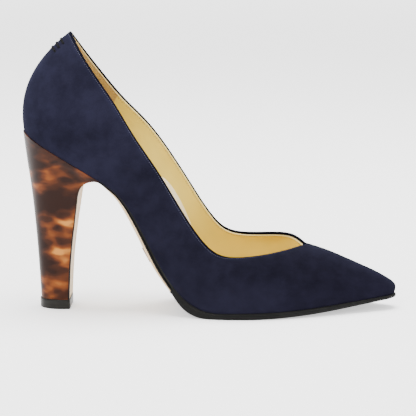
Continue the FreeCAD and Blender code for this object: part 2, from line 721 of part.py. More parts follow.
def add_plaque():
    """Add the blank plate under the waist."""
    plate = doc.addObject("Part::Box", "waist_plaque")
    plate.Label = "waist_plaque"
    plate.setExpression("Length", "dimensions.plaque_length")
    plate.setExpression("Width", "dimensions.plaque_width")
    plate.setExpression("Height", "dimensions.plaque_thickness")
    middle_x = -36.0
    normal = seat_normal(middle_x)
    along = V(normal.z, 0, -normal.x)
    depth = size("plaque_depth")
    corner = V(middle_x, 0, seat_height(middle_x)) - normal * depth
    corner -= along * (size("plaque_length") / 2) + V(0, size("plaque_width") / 2, 0)
    plate.Placement = FreeCAD.Placement(corner, FreeCAD.Rotation(along, V(0, 1, 0), normal, "XYZ"))
    return plate


add_bar_tacks()
add_insole_parts()
add_shank()
add_heel()
add_top_piece()
add_heel_fasteners()
add_outsole()
add_rubber_sole()
add_plaque()

NODES = [
    "upper_suede", "heel_counter", "quarter_backer_lateral", "quarter_backer_medial", "topline_tape",
    "vamp_backer", "toe_puff", "heel_grip_lining", "quarter_lining_lateral", "quarter_lining_medial",
    "vamp_lining", "back_tab", "arch_pad", "back_bar_tacks", "shank_board", "insole_board",
    "bottom_filler", "heel_foam_pad", "ball_foam_pad", "sock_lining", "steel_shank", "shank_rivets",
    "heel_core", "heel_cover", "top_piece", "top_piece_dowels", "heel_screw", "heel_nails",
    "outsole_leather", "forefoot_rubber_sole", "waist_plaque",
]

doc.recompute()
for item in doc.Objects:
    if "Invalid" in item.State or "Error" in item.State:
        raise RuntimeError(f"{item.Label} failed: {item.State}")
os.makedirs("parts", exist_ok=True)
for label in NODES:
    part = doc.getObjectsByLabel(label)[0]
    if part.Shape.isNull() or not part.Shape.isValid():
        raise RuntimeError(f"{label} has no valid shape")
for label in NODES:
    part = doc.getObjectsByLabel(label)[0]
    part.Shape.exportStep(f"parts/{label}.step")
    box = part.Shape.BoundBox
    print(f"{label:24s} solids {len(part.Shape.Solids)} volume {part.Shape.Volume:9.1f} "
          f"x {box.XMin:7.1f} {box.XMax:7.1f} y {box.YMin:6.1f} {box.YMax:6.1f} z {box.ZMin:6.1f} {box.ZMax:6.1f}")
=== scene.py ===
"""High heel pump, right shoe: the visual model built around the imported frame.

Lengths in the classes are millimetres and become metres when a mesh is made.
+X runs to the toe, +Y to the medial side and +Z up, and the floor is at Z = 0.
"""
import logging
import math
from dataclasses import dataclass, field
from enum import Enum
from typing import Callable, Iterable, Sequence

import bmesh
import bpy
from mathutils import Matrix, Vector


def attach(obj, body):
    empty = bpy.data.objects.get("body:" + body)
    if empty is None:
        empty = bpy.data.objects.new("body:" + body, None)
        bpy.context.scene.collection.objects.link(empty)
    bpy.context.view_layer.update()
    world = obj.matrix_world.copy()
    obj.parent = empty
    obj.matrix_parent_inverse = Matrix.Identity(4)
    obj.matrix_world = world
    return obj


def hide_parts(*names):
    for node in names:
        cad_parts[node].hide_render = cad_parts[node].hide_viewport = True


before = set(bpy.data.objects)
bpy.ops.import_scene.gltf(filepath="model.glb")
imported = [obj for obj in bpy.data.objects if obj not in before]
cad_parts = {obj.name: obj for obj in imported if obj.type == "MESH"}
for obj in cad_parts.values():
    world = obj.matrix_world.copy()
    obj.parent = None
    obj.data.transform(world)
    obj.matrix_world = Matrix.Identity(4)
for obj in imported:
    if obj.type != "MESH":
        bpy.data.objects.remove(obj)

MM = 0.001
BODY = "root"
LOG = logging.getLogger("pump")
Colour = tuple[float, float, float, float]
Rows = Sequence[Sequence[float]]


class Side(Enum):
    """The two sides of the shoe, with the sign of their Y."""

    LATERAL = -1
    MEDIAL = 1


def steps(first: float, last: float, count: int) -> list[float]:
    """Return count + 1 evenly spaced values from first to last."""
    return [first + (last - first) * index / count for index in range(count + 1)]


def swing(count: int) -> list[float]:
    """Return count + 1 values from -1 to 1 that crowd together at both ends."""
    return [math.sin(angle) for angle in steps(-math.pi / 2, math.pi / 2, count)]


def smooth(value: float, low: float, high: float) -> float:
    """Return 0 below low, 1 above high and a smooth rise between them."""
    ratio = min(max((value - low) / (high - low), 0.0), 1.0)
    return ratio * ratio * (3.0 - 2.0 * ratio)


class Track:
    """A smooth curve through keyed rows of (key, value, value, ...).

    Attributes:
        keys: The keys, rising.
        lanes: The values of each kind, in the order of the keys.
        bends: Their second derivatives at the keys.
    """

    def __init__(self, rows: Rows) -> None:
        """Solve the curve's bends.

        Args:
            rows: The keys, rising, each with its values.
        """
        self.keys = [row[0] for row in rows]
        self.lanes = [list(lane) for lane in list(zip(*rows))[1:]]
        self.bends = [self._solve(lane) for lane in self.lanes]

    def _solve(self, lane: list[float]) -> list[float]:
        """Return the second derivatives of one lane at its keys.

        Args:
            lane: The values at the keys.

        Returns:
            The second derivatives at the keys.
        """
        keys, count = self.keys, len(self.keys)
        bends, pulls = [0.0] * count, [0.0] * count
        for i in range(1, count - 1):
            before, after = keys[i] - keys[i - 1], keys[i + 1] - keys[i]
            share = before / (before + after)
            pivot = share * bends[i - 1] + 2.0
            bends[i] = (share - 1.0) / pivot
            change = (lane[i + 1] - lane[i]) / after - (lane[i] - lane[i - 1]) / before
            pulls[i] = (6.0 * change / (before + after) - share * pulls[i - 1]) / pivot
        bends[-1] = 0.0
        for i in range(count - 2, -1, -1):
            bends[i] = bends[i] * bends[i + 1] + pulls[i]
        return bends

    def at(self, key: float) -> list[float]:
        """Return the values at a key, held at the ends.

        Args:
            key: The place along the curve.

        Returns:
            The values.
        """
        keys = self.keys
        key = min(max(key, keys[0]), keys[-1])
        i = next(i for i in range(len(keys) - 1) if key <= keys[i + 1])
        span = keys[i + 1] - keys[i]
        high = (key - keys[i]) / span
        low = 1.0 - high
        return [low * lane[i] + high * lane[i + 1]
                + ((low ** 3 - low) * bend[i] + (high ** 3 - high) * bend[i + 1]) * span * span / 6.0
                for lane, bend in zip(self.lanes, self.bends)]

    def point(self, key: float) -> Vector:
        """Return the first three values as a point."""
        return Vector(self.at(key)[:3])

    def direction(self, key: float) -> Vector:
        """Return the unit direction of travel of the point.

        Args:
            key: The place along the curve.

        Returns:
            The unit direction.
        """
        gap = (self.keys[-1] - self.keys[0]) * 1e-4
        low, high = max(key - gap, self.keys[0]), min(key + gap, self.keys[-1])
        return (self.point(high) - self.point(low)).normalized()


# ------------------------------------------------------------------------------ the last
@dataclass
class Last:
    """The foot form that the upper, the linings and the soles follow.

    A station is 0 at the back seam and 1 at the toe tip. A mark is a station with the side's sign.
    A rise is 0 at the feather edge and 1 at the topline or, in front of the throat, at the ridge.

    Attributes:
        throat: The station where the topline's two sides meet.
        bottom: The height of the feather edge by x.
        feather: Each side's feather edge, x and y, by station.
        topline: Each side's topline, x, y and z, by station.
        ridge: The ridge in front of the throat, x, y and z, by station.
        wall: By station: the lower pole's share of the height and its swell, the upper pole's
            reach, and the share of the chord that the upper pole drops.
        cache: The poles that are known already, by mark.
    """

    throat: float = 0.70
    bottom: Track = field(default_factory=lambda: Track([
        (-102.6, 99.9), (-86.0, 90.3), (-72.3, 82.6), (-59.6, 74.8), (-47.0, 64.3), (-36.7, 47.6),
        (-27.5, 30.2), (-15.0, 12.6), (0.0, 4.0), (12.0, 3.4), (40.0, 3.9), (72.0, 5.8), (105.0, 8.4)]))
    feather: dict = field(default_factory=lambda: {
        Side.LATERAL: Track([
            (-0.05, -98.5, 12), (0.00, -102.6, 0), (0.05, -98.5, -12), (0.13, -85, -22),
            (0.20, -70, -25.2), (0.28, -54, -23.4), (0.37, -40, -21.5), (0.46, -28, -23.3),
            (0.54, -12, -29.8), (0.60, 3, -34.6),
            (0.70, 33, -34.6), (0.78, 54, -28.6), (0.87, 76, -18.8), (0.95, 97, -8.4), (0.98, 103.2, -4.2),
            (1.00, 104.8, 0), (1.02, 103.2, 4.2)]),
        Side.MEDIAL: Track([
            (-0.05, -98.5, -12), (0.00, -102.6, 0), (0.05, -98.5, 12), (0.13, -85, 21.5), (0.20, -70, 24),
            (0.28, -54, 20.8), (0.37, -40, 17.5), (0.46, -28, 18.8), (0.54, -12, 26), (0.60, 4, 33.5),
            (0.70, 33, 37.4), (0.78, 54, 31), (0.87, 76, 20.2), (0.95, 97, 8.8), (0.98, 103.2, 4.2),
            (1.00, 104.8, 0), (1.02, 103.2, -4.2)])})
    topline: dict = field(default_factory=lambda: {
        Side.LATERAL: Track([
            (-0.05, -71.3, 8.8, 147.6), (0.00, -76.1, 0, 155.4), (0.05, -71.3, -8.8, 147.6),
            (0.13, -61, -17, 132.5), (0.20, -50.8, -21, 118.2), (0.28, -39.8, -23, 100.3),
            (0.37, -27.5, -24, 82), (0.46, -15, -25.5, 61.5), (0.54, 2, -28, 38.5), (0.60, 17, -28.6, 34),
            (0.65, 36, -19.5, 34.6), (0.70, 55, 0, 36.3)]),
        Side.MEDIAL: Track([
            (-0.05, -71.3, -8.8, 147.6), (0.00, -76.1, 0, 155.4), (0.05, -71.3, 8.8, 147.6),
            (0.13, -60, 18.6, 131.2), (0.20, -49.1, 22.5, 117.3), (0.28, -37, 24.4, 104.6),
            (0.37, -25, 25.8, 89.3), (0.46, -11, 27.2, 67.5), (0.54, 3, 29, 46.5), (0.60, 17, 29.2, 38.3),
            (0.65, 38, 22.6, 38.9), (0.68, 49.2, 13.4, 38.5), (0.70, 55, 0, 36.3)])})
    ridge: Track = field(default_factory=lambda: Track([
        (0.70, 55, 0, 36.3), (0.78, 69.5, 0, 31.5), (0.87, 83.5, 0, 25.6), (0.95, 95.5, 0, 20.2),
        (1.00, 101.5, 0, 16.8)]))
    wall: Track = field(default_factory=lambda: Track([
        (0.00, 0.33, 12.0, 15.5, 0.33), (0.05, 0.33, 9.5, 13.0, 0.33), (0.13, 0.33, 5.4, 9.6, 0.33),
        (0.20, 0.33, 3.7, 6.4, 0.33), (0.32, 0.33, 3.8, 4.0, 0.33), (0.46, 0.33, 4.0, 3.4, 0.33),
        (0.56, 0.36, 3.2, 6.5, 0.26), (0.63, 0.42, 2.0, 13.0, 0.11), (0.70, 0.46, 1.3, 20.0, 0.0),
        (0.80, 0.48, 1.2, 15.5, 0.0), (0.87, 0.48, 1.2, 11.0, 0.0), (0.95, 0.45, 1.6, 5.2, 0.0),
        (1.00, 0.50, 3.0, 3.8, 0.0)]))
    cache: dict = field(default_factory=dict)

    def seat(self, x: float) -> float:
        """Return the feather edge's height at x."""
        return self.bottom.at(x)[0]

    def seat_normal(self, x: float) -> Vector:
        """Return the upward normal of the feather profile at x."""
        return Vector((self.seat(x - 0.5) - self.seat(x + 0.5), 0.0, 1.0)).normalized()

    def foot(self, side: Side, station: float) -> tuple[Vector, Vector]:
        """Return the feather point and its outward direction in plan.

        Args:
            side: The side of the shoe.
            station: The station, 0 to 1.

        Returns:
            The point and a level unit direction away from the shoe.
        """
        track = self.feather[side]
        x, y = track.at(station)
        ahead, behind = track.at(station + 1e-3), track.at(station - 1e-3)
        outward = Vector((behind[1] - ahead[1], ahead[0] - behind[0], 0.0)) * side.value
        if station in (0.0, 1.0):
            outward = Vector((2.0 * station - 1.0, 0.0, 0.0))
        return Vector((x, y, self.seat(x))), outward.normalized()

    def poles(self, mark: float) -> tuple[Vector, Vector, Vector, Vector]:
        """Return the four poles of the cross line at a mark.

        Args:
            mark: The station, with the sign of its side.

        Returns:
            The foot, the lower pole, the upper pole and the top.
        """
        if mark in self.cache:
            return self.cache[mark]
        side = Side.LATERAL if mark < 0 else Side.MEDIAL
        station = abs(mark)
        foot, outward = self.foot(side, station)
        top = (self.topline[side] if station < self.throat else self.ridge).point(station)
        chord = top - foot
        share, swell, reach, fall = self.wall.at(station)
        low = foot + Vector((chord.x / 3.0, 0.0, chord.z * share)) + outward * swell
        turn = 1.0 - smooth(station, 0.50, self.throat) + smooth(station, 0.88, 1.0)
        across = Vector((outward.x * turn, outward.y, 0.0)).normalized()
        slope = self.ridge.direction(max(station, self.throat))
        across.z = across.x * slope.z / slope.x * smooth(station, 0.60, self.throat)
        high = top - Vector((chord.x * fall, 0.0, chord.z * fall)) + across * reach
        self.cache[mark] = (foot, low, high, top)
        return self.cache[mark]

    def point(self, mark: float, rise: float) -> Vector:
        """Return the surface point at a mark and a rise.

        Args:
            mark: The station, with the sign of its side.
            rise: 0 at the feather edge and 1 at the top.

        Returns:
            The point in millimetres.
        """
        foot, low, high, top = self.poles(mark)
        rest = 1.0 - rise
        lower = foot * rest ** 3 + low * (3 * rest * rest * rise)
        return lower + high * (3 * rest * rise ** 2) + top * rise ** 3

    def normal(self, mark: float, rise: float) -> Vector:
        """Return the outward unit normal at a mark and a rise.

        Args:
            mark: The station, with the sign of its side.
            rise: 0 at the feather edge and 1 at the top.

        Returns:
            The unit normal.
        """
        station, sign = abs(mark), -1.0 if mark < 0 else 1.0
        if rise >= 1.0 and station >= self.throat:
            along = self.ridge.direction(station)
            return Vector((-along.z, 0.0, along.x)).normalized()
        gap = 0.003
        before = self.point(sign * max(station - gap, 0.0), rise)
        after = self.point(sign * min(station + gap, 1.0), rise)
        above = self.point(mark, min(rise + gap, 1.0))
        below = self.point(mark, max(rise - gap, 0.0))
        normal = (after - before).cross(above - below) * -sign
        if station in (0.0, 1.0):
            normal.y = 0.0
        return normal.normalized()

    def inside(self, mark: float, rise: float, depth: float) -> Vector:
        """Return the point at a depth under the surface."""
        return self.point(mark, rise) - self.normal(mark, rise) * depth

    def rise_at(self, mark: float, share: float, drop: float) -> float:
        """Return the rise at a share of the way up to a drop below the top edge."""
        _, _, high, top = self.poles(mark)
        return share * (1.0 - drop / (3.0 * (top - high).length))


LAST = Last()


def marks_between(first: float, last: float) -> list[float]:
    """Return the marks from first to last, closer together at the back seam and the toe.

    Args:
        first: The first mark.
        last: The last mark.

    Returns:
        The marks in order.
    """
    low, high = min(abs(first), abs(last)), max(abs(first), abs(last))
    base = [0.0, 0.0008, 0.0016, 0.003, 0.006, 0.011] + steps(0.018, 0.94, 150) + steps(0.944, 1.0, 18)
    base += [LAST.throat, LAST.throat + 0.004, LAST.throat - 0.003]
    kept = sorted({low, high, *(station for station in base if low < station < high)})
    sign = -1.0 if min(first, last) < 0 else 1.0
    marks = [sign * station for station in kept]
    return marks if abs(first) < abs(last) else marks[::-1]


# ------------------------------------------------------------------------------ mesh helpers
def mapped_grid(columns: int, rows: int,
                place: Callable[[int, int], Vector]) -> tuple[bmesh.types.BMesh, list]:
    """Return a grid whose corners are moved to their places, and its vertices by column and row.

    Args:
        columns: How many vertices the grid has one way.
        rows: How many it has the other way.
        place: Gives a corner's place in millimetres from its column and row.

    Returns:
        The mesh and the vertices as a list of columns.
    """
    mesh = bmesh.new()
    mesh.verts.layers.float.new("rim")
    bmesh.ops.create_grid(mesh, x_segments=columns - 1, y_segments=rows - 1, size=0.5)
    table: list = [[None] * rows for _ in range(columns)]
    for vert in mesh.verts:
        column = round((vert.co.x + 0.5) * (columns - 1))
        row = round((vert.co.y + 0.5) * (rows - 1))
        table[column][row] = vert
    for column, line in enumerate(table):
        for row, vert in enumerate(line):
            vert.co = place(column, row) * MM
    return mesh, table


def edge_chain(line: Sequence[bmesh.types.BMVert]) -> list[bmesh.types.BMEdge]:
    """Return the edges between neighbouring vertices of a line.

    Args:
        line: The vertices in order.

    Returns:
        The edges.
    """
    edges = []
    for first, last in zip(line, line[1:]):
        edges += [edge for edge in first.link_edges if edge.other_vert(first) is last]
    return edges


def weld(mesh: bmesh.types.BMesh, gap: float = 0.01) -> None:
    """Merge vertices closer than a gap and turn the faces outwards.

    Args:
        mesh: The mesh.
        gap: The gap in millimetres.
    """
    bmesh.ops.remove_doubles(mesh, verts=mesh.verts, dist=gap * MM)
    bmesh.ops.dissolve_degenerate(mesh, edges=mesh.edges, dist=gap * MM * 0.1)
    bmesh.ops.recalc_face_normals(mesh, faces=mesh.faces)


def finish_piece(name: str, mesh: bmesh.types.BMesh, materials: Sequence[bpy.types.Material],
                 replaces: Iterable[str] = (), crease: float = 40.0) -> bpy.types.Object:
    """Make a piece of a mesh, ride it on the shoe and log it.

    Args:
        name: The piece's name.
        mesh: The finished mesh, in metres.
        materials: The piece's materials, in the order of its faces' numbers.
        replaces: The CAD nodes that the piece stands for.
        crease: Edges sharper than this many degrees stay sharp.

    Returns:
        The new object.
    """
    for face in mesh.faces:
        face.smooth = True
    for edge in mesh.edges:
        if len(edge.link_faces) == 2 and edge.calc_face_angle(0.0) > math.radians(crease):
            edge.smooth = False
    data = bpy.data.meshes.new(name)
    mesh.to_mesh(data)
    mesh.free()
    piece = bpy.data.objects.new(name, data)
    bpy.context.scene.collection.objects.link(piece)
    for material in materials:
        data.materials.append(material)
    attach(piece, BODY)
    nodes = tuple(replaces)
    if nodes:
        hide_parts(*nodes)
    LOG.info("%s: %d faces", name, len(data.polygons))
    return piece


@dataclass(frozen=True)
class Ply:
    """One row of a shell's section.

    Attributes:
        share: The share of the way from the feather edge up to the drop.
        drop: The distance below the top edge, in millimetres.
        depth: The distance under the last's surface.
        roll: Whether the row belongs to the rolled edge.
    """

    share: float
    drop: float
    depth: float
    roll: bool = False


@dataclass
class Shell:
    """A wall of the shoe: a closed sheet with a rolled top edge.

    Attributes:
        outer: The depth of its outer face.
        inner: The depth of its inner face.
        rim: The depth of the inner face just below the rolled edge.
        lip: The drop of its top edge below the topline.
        stitch: The drop of its stitch row, or None.
        stitch_face: Whether the row shows on the inner face.
        groove: How deep the stitch row pulls the face in.
        groove_width: How wide that pull is.
        seam_depth: How deep the back seam's valley is.
        seam_width: The valley's half width, as a station.
        rim_reach: The drop at which the rim attribute becomes 1.
        coarse: How many rows the plain part of a face has.
    """

    outer: float
    inner: float
    rim: float
    lip: float = 0.0
    stitch: float | None = None
    stitch_face: bool = False
    groove: float = 0.16
    groove_width: float = 0.4
    seam_depth: float = 0.22
    seam_width: float = 0.0016
    rim_reach: float = 4.0
    coarse: int = 22

    def section(self) -> list[Ply]:
        """Return the rows, from the feather edge up the outer face and down the inner face.

        Returns:
            The rows in order.
        """
        radius = (self.rim - self.outer) / 2.0
        top = self.lip + radius
        fine = [top + extra for extra in (4.2, 3.4, 2.7, 2.2, 1.8, 1.5, 1.25, 1.0, 0.75, 0.5, 0.25, 0.1)]
        rows = [Ply(share, fine[0], self.outer) for share in steps(0.0, 1.0, self.coarse)]
        rows += [Ply(1.0, drop, self.outer) for drop in fine[1:]]
        for angle in steps(0.0, math.pi, 8):
            depth = self.outer + radius * (1.0 - math.cos(angle))
            rows.append(Ply(1.0, top - radius * math.sin(angle), depth, roll=True))
        rows += [Ply(1.0, drop, self.rim) for drop in fine[:0:-1]]
        rows += [Ply(share, fine[0], self.inner) for share in steps(1.0, 0.0, self.coarse)]
        return rows

    def dent(self, ply: Ply, mark: float) -> float:
        """Return how deep the stitch row pulls the wall in at a row.

        Args:
            ply: The row of the section.
            mark: The station, with the sign of its side.

        Returns:
            The pull in millimetres, positive towards the inside.
        """
        if self.stitch is None or ply.share < 1.0 or ply.roll:
            return 0.0
        on_inner = ply.depth >= self.rim
        if on_inner != self.stitch_face:
            return 0.0
        fade = 1.0 - smooth(abs(mark), LAST.throat - 0.006, LAST.throat)
        pull = self.groove * math.exp(-((ply.drop - self.stitch) / self.groove_width) ** 2) * fade
        return -pull if on_inner else pull

    def place(self, mark: float, ply: Ply) -> Vector:
        """Return the place of a section row at a mark.

        Args:
            mark: The station, with the sign of its side.
            ply: The row of the section.

        Returns:
            The point in millimetres.
        """
        past_throat = abs(mark) > LAST.throat
        drop = 0.0 if ply.roll and past_throat else ply.drop
        rise = LAST.rise_at(mark, ply.share, drop)
        seam = 0.0
        if ply.depth == 0.0 and not ply.roll:
            seam = self.seam_depth * math.exp(-(mark / self.seam_width) ** 2)
        return LAST.inside(mark, rise, ply.depth + self.dent(ply, mark) + seam)

    def mesh(self, marks: Sequence[float]) -> bmesh.types.BMesh:
        """Return the wall over a run of marks.

        Args:
            marks: The marks in order round the shoe; the run may cross the toe or the back seam.

        Returns:
            A closed mesh with a rim attribute that grows from 0 at the top edge to 1 well below it.
        """
        rows = self.section()
        closing = rows + [rows[0]]
        mesh, table = mapped_grid(len(marks), len(closing), lambda c, r: self.place(marks[c], closing[r]))
        rim = mesh.verts.layers.float["rim"]
        for line in table:
            for ply, vert in zip(closing, line):
                below = min(max((ply.drop - self.lip) / self.rim_reach, 0.0), 1.0)
                vert[rim] = 1.0 if ply.share < 1.0 else below
        self._open_ridge(mesh, table, marks, rows)
        self._cap_ends(mesh, table, marks, rows)
        weld(mesh)
        return mesh

    def _open_ridge(self, mesh: bmesh.types.BMesh, table: list, marks: Sequence[float],
                    rows: list[Ply]) -> None:
        """Delete the rolled edge in front of the throat, where both sides meet on the ridge.

        Args:
            mesh: The wall's mesh.
            table: Its vertices by column and row.
            marks: The marks of its columns.
            rows: The rows of its section.
        """
        rolled = [index for index, ply in enumerate(rows) if ply.roll]
        doomed = []
        for column, mark in enumerate(marks[:-1]):
            if min(abs(mark), abs(marks[column + 1])) <= LAST.throat:
                continue
            for row in range(rolled[0], rolled[-1]):
                corners = {table[column][row], table[column + 1][row], table[column][row + 1]}
                doomed += [face for face in table[column][row].link_faces if corners <= set(face.verts)]
        bmesh.ops.delete(mesh, geom=doomed, context="FACES_ONLY")

    def _cap_ends(self, mesh: bmesh.types.BMesh, table: list, marks: Sequence[float],
                  rows: list[Ply]) -> None:
        """Close the ends of a wall that stops short of the toe and the back seam.

        Args:
            mesh: The wall's mesh.
            table: Its vertices by column and row.
            marks: The marks of its columns.
            rows: The rows of its section.
        """
        if abs(marks[0]) == 1.0:
            return
        rolled = [index for index, ply in enumerate(rows) if ply.roll]
        for line in (table[0], table[-1]):
            outer = edge_chain(line[:rolled[0] + 1])
            inner = edge_chain(line[rolled[-1]:len(rows)])
            bmesh.ops.bridge_loops(mesh, edges=outer + inner)
            bmesh.ops.contextual_create(mesh, geom=line[rolled[0]:rolled[-1] + 1])


# ------------------------------------------------------------------------------ materials
class Nodes:
    """A small builder for a node tree."""

    def __init__(self, tree: bpy.types.NodeTree) -> None:
        """Keep the tree."""
        self.tree = tree

    def add(self, kind: str, inputs: dict | None = None, **settings: object) -> bpy.types.Node:
        """Add a node.

        Args:
            kind: The node's type name.
            inputs: Values or sockets for its inputs, by name or number.
            **settings: The node's own properties.

        Returns:
            The new node.
        """
        node = self.tree.nodes.new(kind)
        for key, value in settings.items():
            setattr(node, key, value)
        for key, value in (inputs or {}).items():
            if isinstance(value, bpy.types.NodeSocket):
                self.tree.links.new(value, node.inputs[key])
            else:
                node.inputs[key].default_value = value
        return node

    def ramp(self, factor: bpy.types.NodeSocket, stops: Sequence[tuple[float, Colour]],
             interpolation: str = "EASE") -> bpy.types.NodeSocket:
        """Add a colour ramp and return its colour.

        Args:
            factor: The value that picks the colour.
            stops: The positions and their colours, rising.
            interpolation: How the colours run together.

        Returns:
            The socket of the colour.
        """
        node = self.add("ShaderNodeValToRGB", {"Fac": factor})
        ramp = node.color_ramp
        ramp.interpolation = interpolation
        while len(ramp.elements) < len(stops):
            ramp.elements.new(0.5)
        for element, (position, colour) in zip(ramp.elements, stops):
            element.position = position
            element.color = colour
        return node.outputs["Color"]

    def mix(self, factor: object, first: object, second: object) -> bpy.types.NodeSocket:
        """Mix two colours and return the result.

        Args:
            factor: The share of the second colour.
            first: The first colour.
            second: The second colour.

        Returns:
            The socket of the colour.
        """
        node = self.tree.nodes.new("ShaderNodeMix")
        node.data_type = "RGBA"
        for socket, value in zip((node.inputs[0], node.inputs[6], node.inputs[7]), (factor, first, second)):
            if isinstance(value, bpy.types.NodeSocket):
                self.tree.links.new(value, socket)
            else:
                socket.default_value = value
        return node.outputs[2]

    def multiply(self, first: object, second: object) -> bpy.types.NodeSocket:
        """Multiply one colour by another and return the result.

        Args:
            first: The first colour.
            second: The second colour.

        Returns:
            The socket of the colour.
        """
        product = self.mix(1.0, first, second)
        product.node.blend_type = "MULTIPLY"
        return product

    def sum_of(self, *parts: tuple[bpy.types.NodeSocket, float]) -> bpy.types.NodeSocket:
        """Return the sum of values, each with its weight.

        Args:
            *parts: The values and their weights.

        Returns:
            The socket of the sum.
        """
        total = None
        for value, weight in parts:
            if weight != 1.0:
                value = self.add("ShaderNodeMath", {0: value, 1: weight}, operation="MULTIPLY").outputs[0]
            if total is not None:
                value = self.add("ShaderNodeMath", {0: total, 1: value}, operation="ADD").outputs[0]
            total = value
        return total

    def range(self, value: bpy.types.NodeSocket, low: float, high: float, start: float = 0.0,
              end: float = 1.0) -> bpy.types.NodeSocket:
        """Map a value from low and high to start and end, held at both, and return it.

        Args:
            value: The value.
            low: The value that becomes start.
            high: The value that becomes end.
            start: The result at low.
            end: The result at high.

        Returns:
            The socket of the result.
        """
        node = self.add("ShaderNodeMapRange", {"Value": value, "From Min": low, "From Max": high,
                                               "To Min": start, "To Max": end})
        return node.outputs["Result"]

    def axis(self, place: bpy.types.NodeSocket, name: str) -> bpy.types.NodeSocket:
        """Return one axis of a place."""
        return self.add("ShaderNodeSeparateXYZ", {"Vector": place}).outputs[name]

    def rim(self) -> bpy.types.NodeSocket:
        """Return the rim attribute, 0 at a wall's top edge and 1 well below it."""
        return self.add("ShaderNodeAttribute", attribute_name="rim").outputs["Fac"]


class Groups:
    """Shader node groups that several materials share, each built once."""

    @staticmethod
    def _new(name: str, inputs: Sequence[tuple[str, str, object]],
             output: str) -> tuple[Nodes, dict, object]:
        """Start a group with its inputs and one float output.

        Args:
            name: The group's name.
            inputs: Each input's name, type and default.
            output: The output's name.

        Returns:
            The node builder, the sockets of the inputs and the socket that takes the output.
        """
        tree = bpy.data.node_groups.new(name, "ShaderNodeTree")
        for label, kind, default in inputs:
            socket = tree.interface.new_socket(label, in_out="INPUT", socket_type=kind)
            if default is not None:
                socket.default_value = default
        tree.interface.new_socket(output, in_out="OUTPUT", socket_type="NodeSocketFloat")
        nodes = Nodes(tree)
        source = tree.nodes.new("NodeGroupInput")
        sink = tree.nodes.new("NodeGroupOutput")
        return nodes, source.outputs, sink.inputs[output]

    @classmethod
    def mottle(cls) -> bpy.types.NodeTree:
        """Return the soft cloudy mask group.

        Returns:
            The node group.
        """
        if "soft_mottle" in bpy.data.node_groups:
            return bpy.data.node_groups["soft_mottle"]
        nodes, source, sink = cls._new("soft_mottle", [
            ("Vector", "NodeSocketVector", None), ("Scale", "NodeSocketFloat", 40.0),
            ("Detail", "NodeSocketFloat", 3.0), ("Low", "NodeSocketFloat", 0.35),
            ("High", "NodeSocketFloat", 0.65)], "Mask")
        noise = nodes.add("ShaderNodeTexNoise", {"Vector": source["Vector"], "Scale": source["Scale"],
                                                 "Detail": source["Detail"], "Roughness": 0.55})
        spread = nodes.add("ShaderNodeMapRange", {
            "Value": noise.outputs["Fac"], "From Min": source["Low"], "From Max": source["High"]},
            interpolation_type="SMOOTHSTEP")
        nodes.tree.links.new(spread.outputs["Result"], sink)
        return nodes.tree

    @classmethod
    def grain(cls) -> bpy.types.NodeTree:
        """Return the leather grain height group: cells with a fine noise over them.

        Returns:
            The node group.
        """
        if "leather_grain" in bpy.data.node_groups:
            return bpy.data.node_groups["leather_grain"]
        nodes, source, sink = cls._new("leather_grain", [
            ("Vector", "NodeSocketVector", None), ("Cells", "NodeSocketFloat", 1500.0),
            ("Fine", "NodeSocketFloat", 5000.0)], "Height")
        cells = nodes.add("ShaderNodeTexVoronoi", {"Vector": source["Vector"], "Scale": source["Cells"]},
                          feature="SMOOTH_F1")
        fine = nodes.add("ShaderNodeTexNoise", {"Vector": source["Vector"], "Scale": source["Fine"],
                                                "Detail": 2.0})
        total = nodes.sum_of((cells.outputs["Distance"], 1.0), (fine.outputs["Fac"], 0.4))
        nodes.tree.links.new(total, sink)
        return nodes.tree


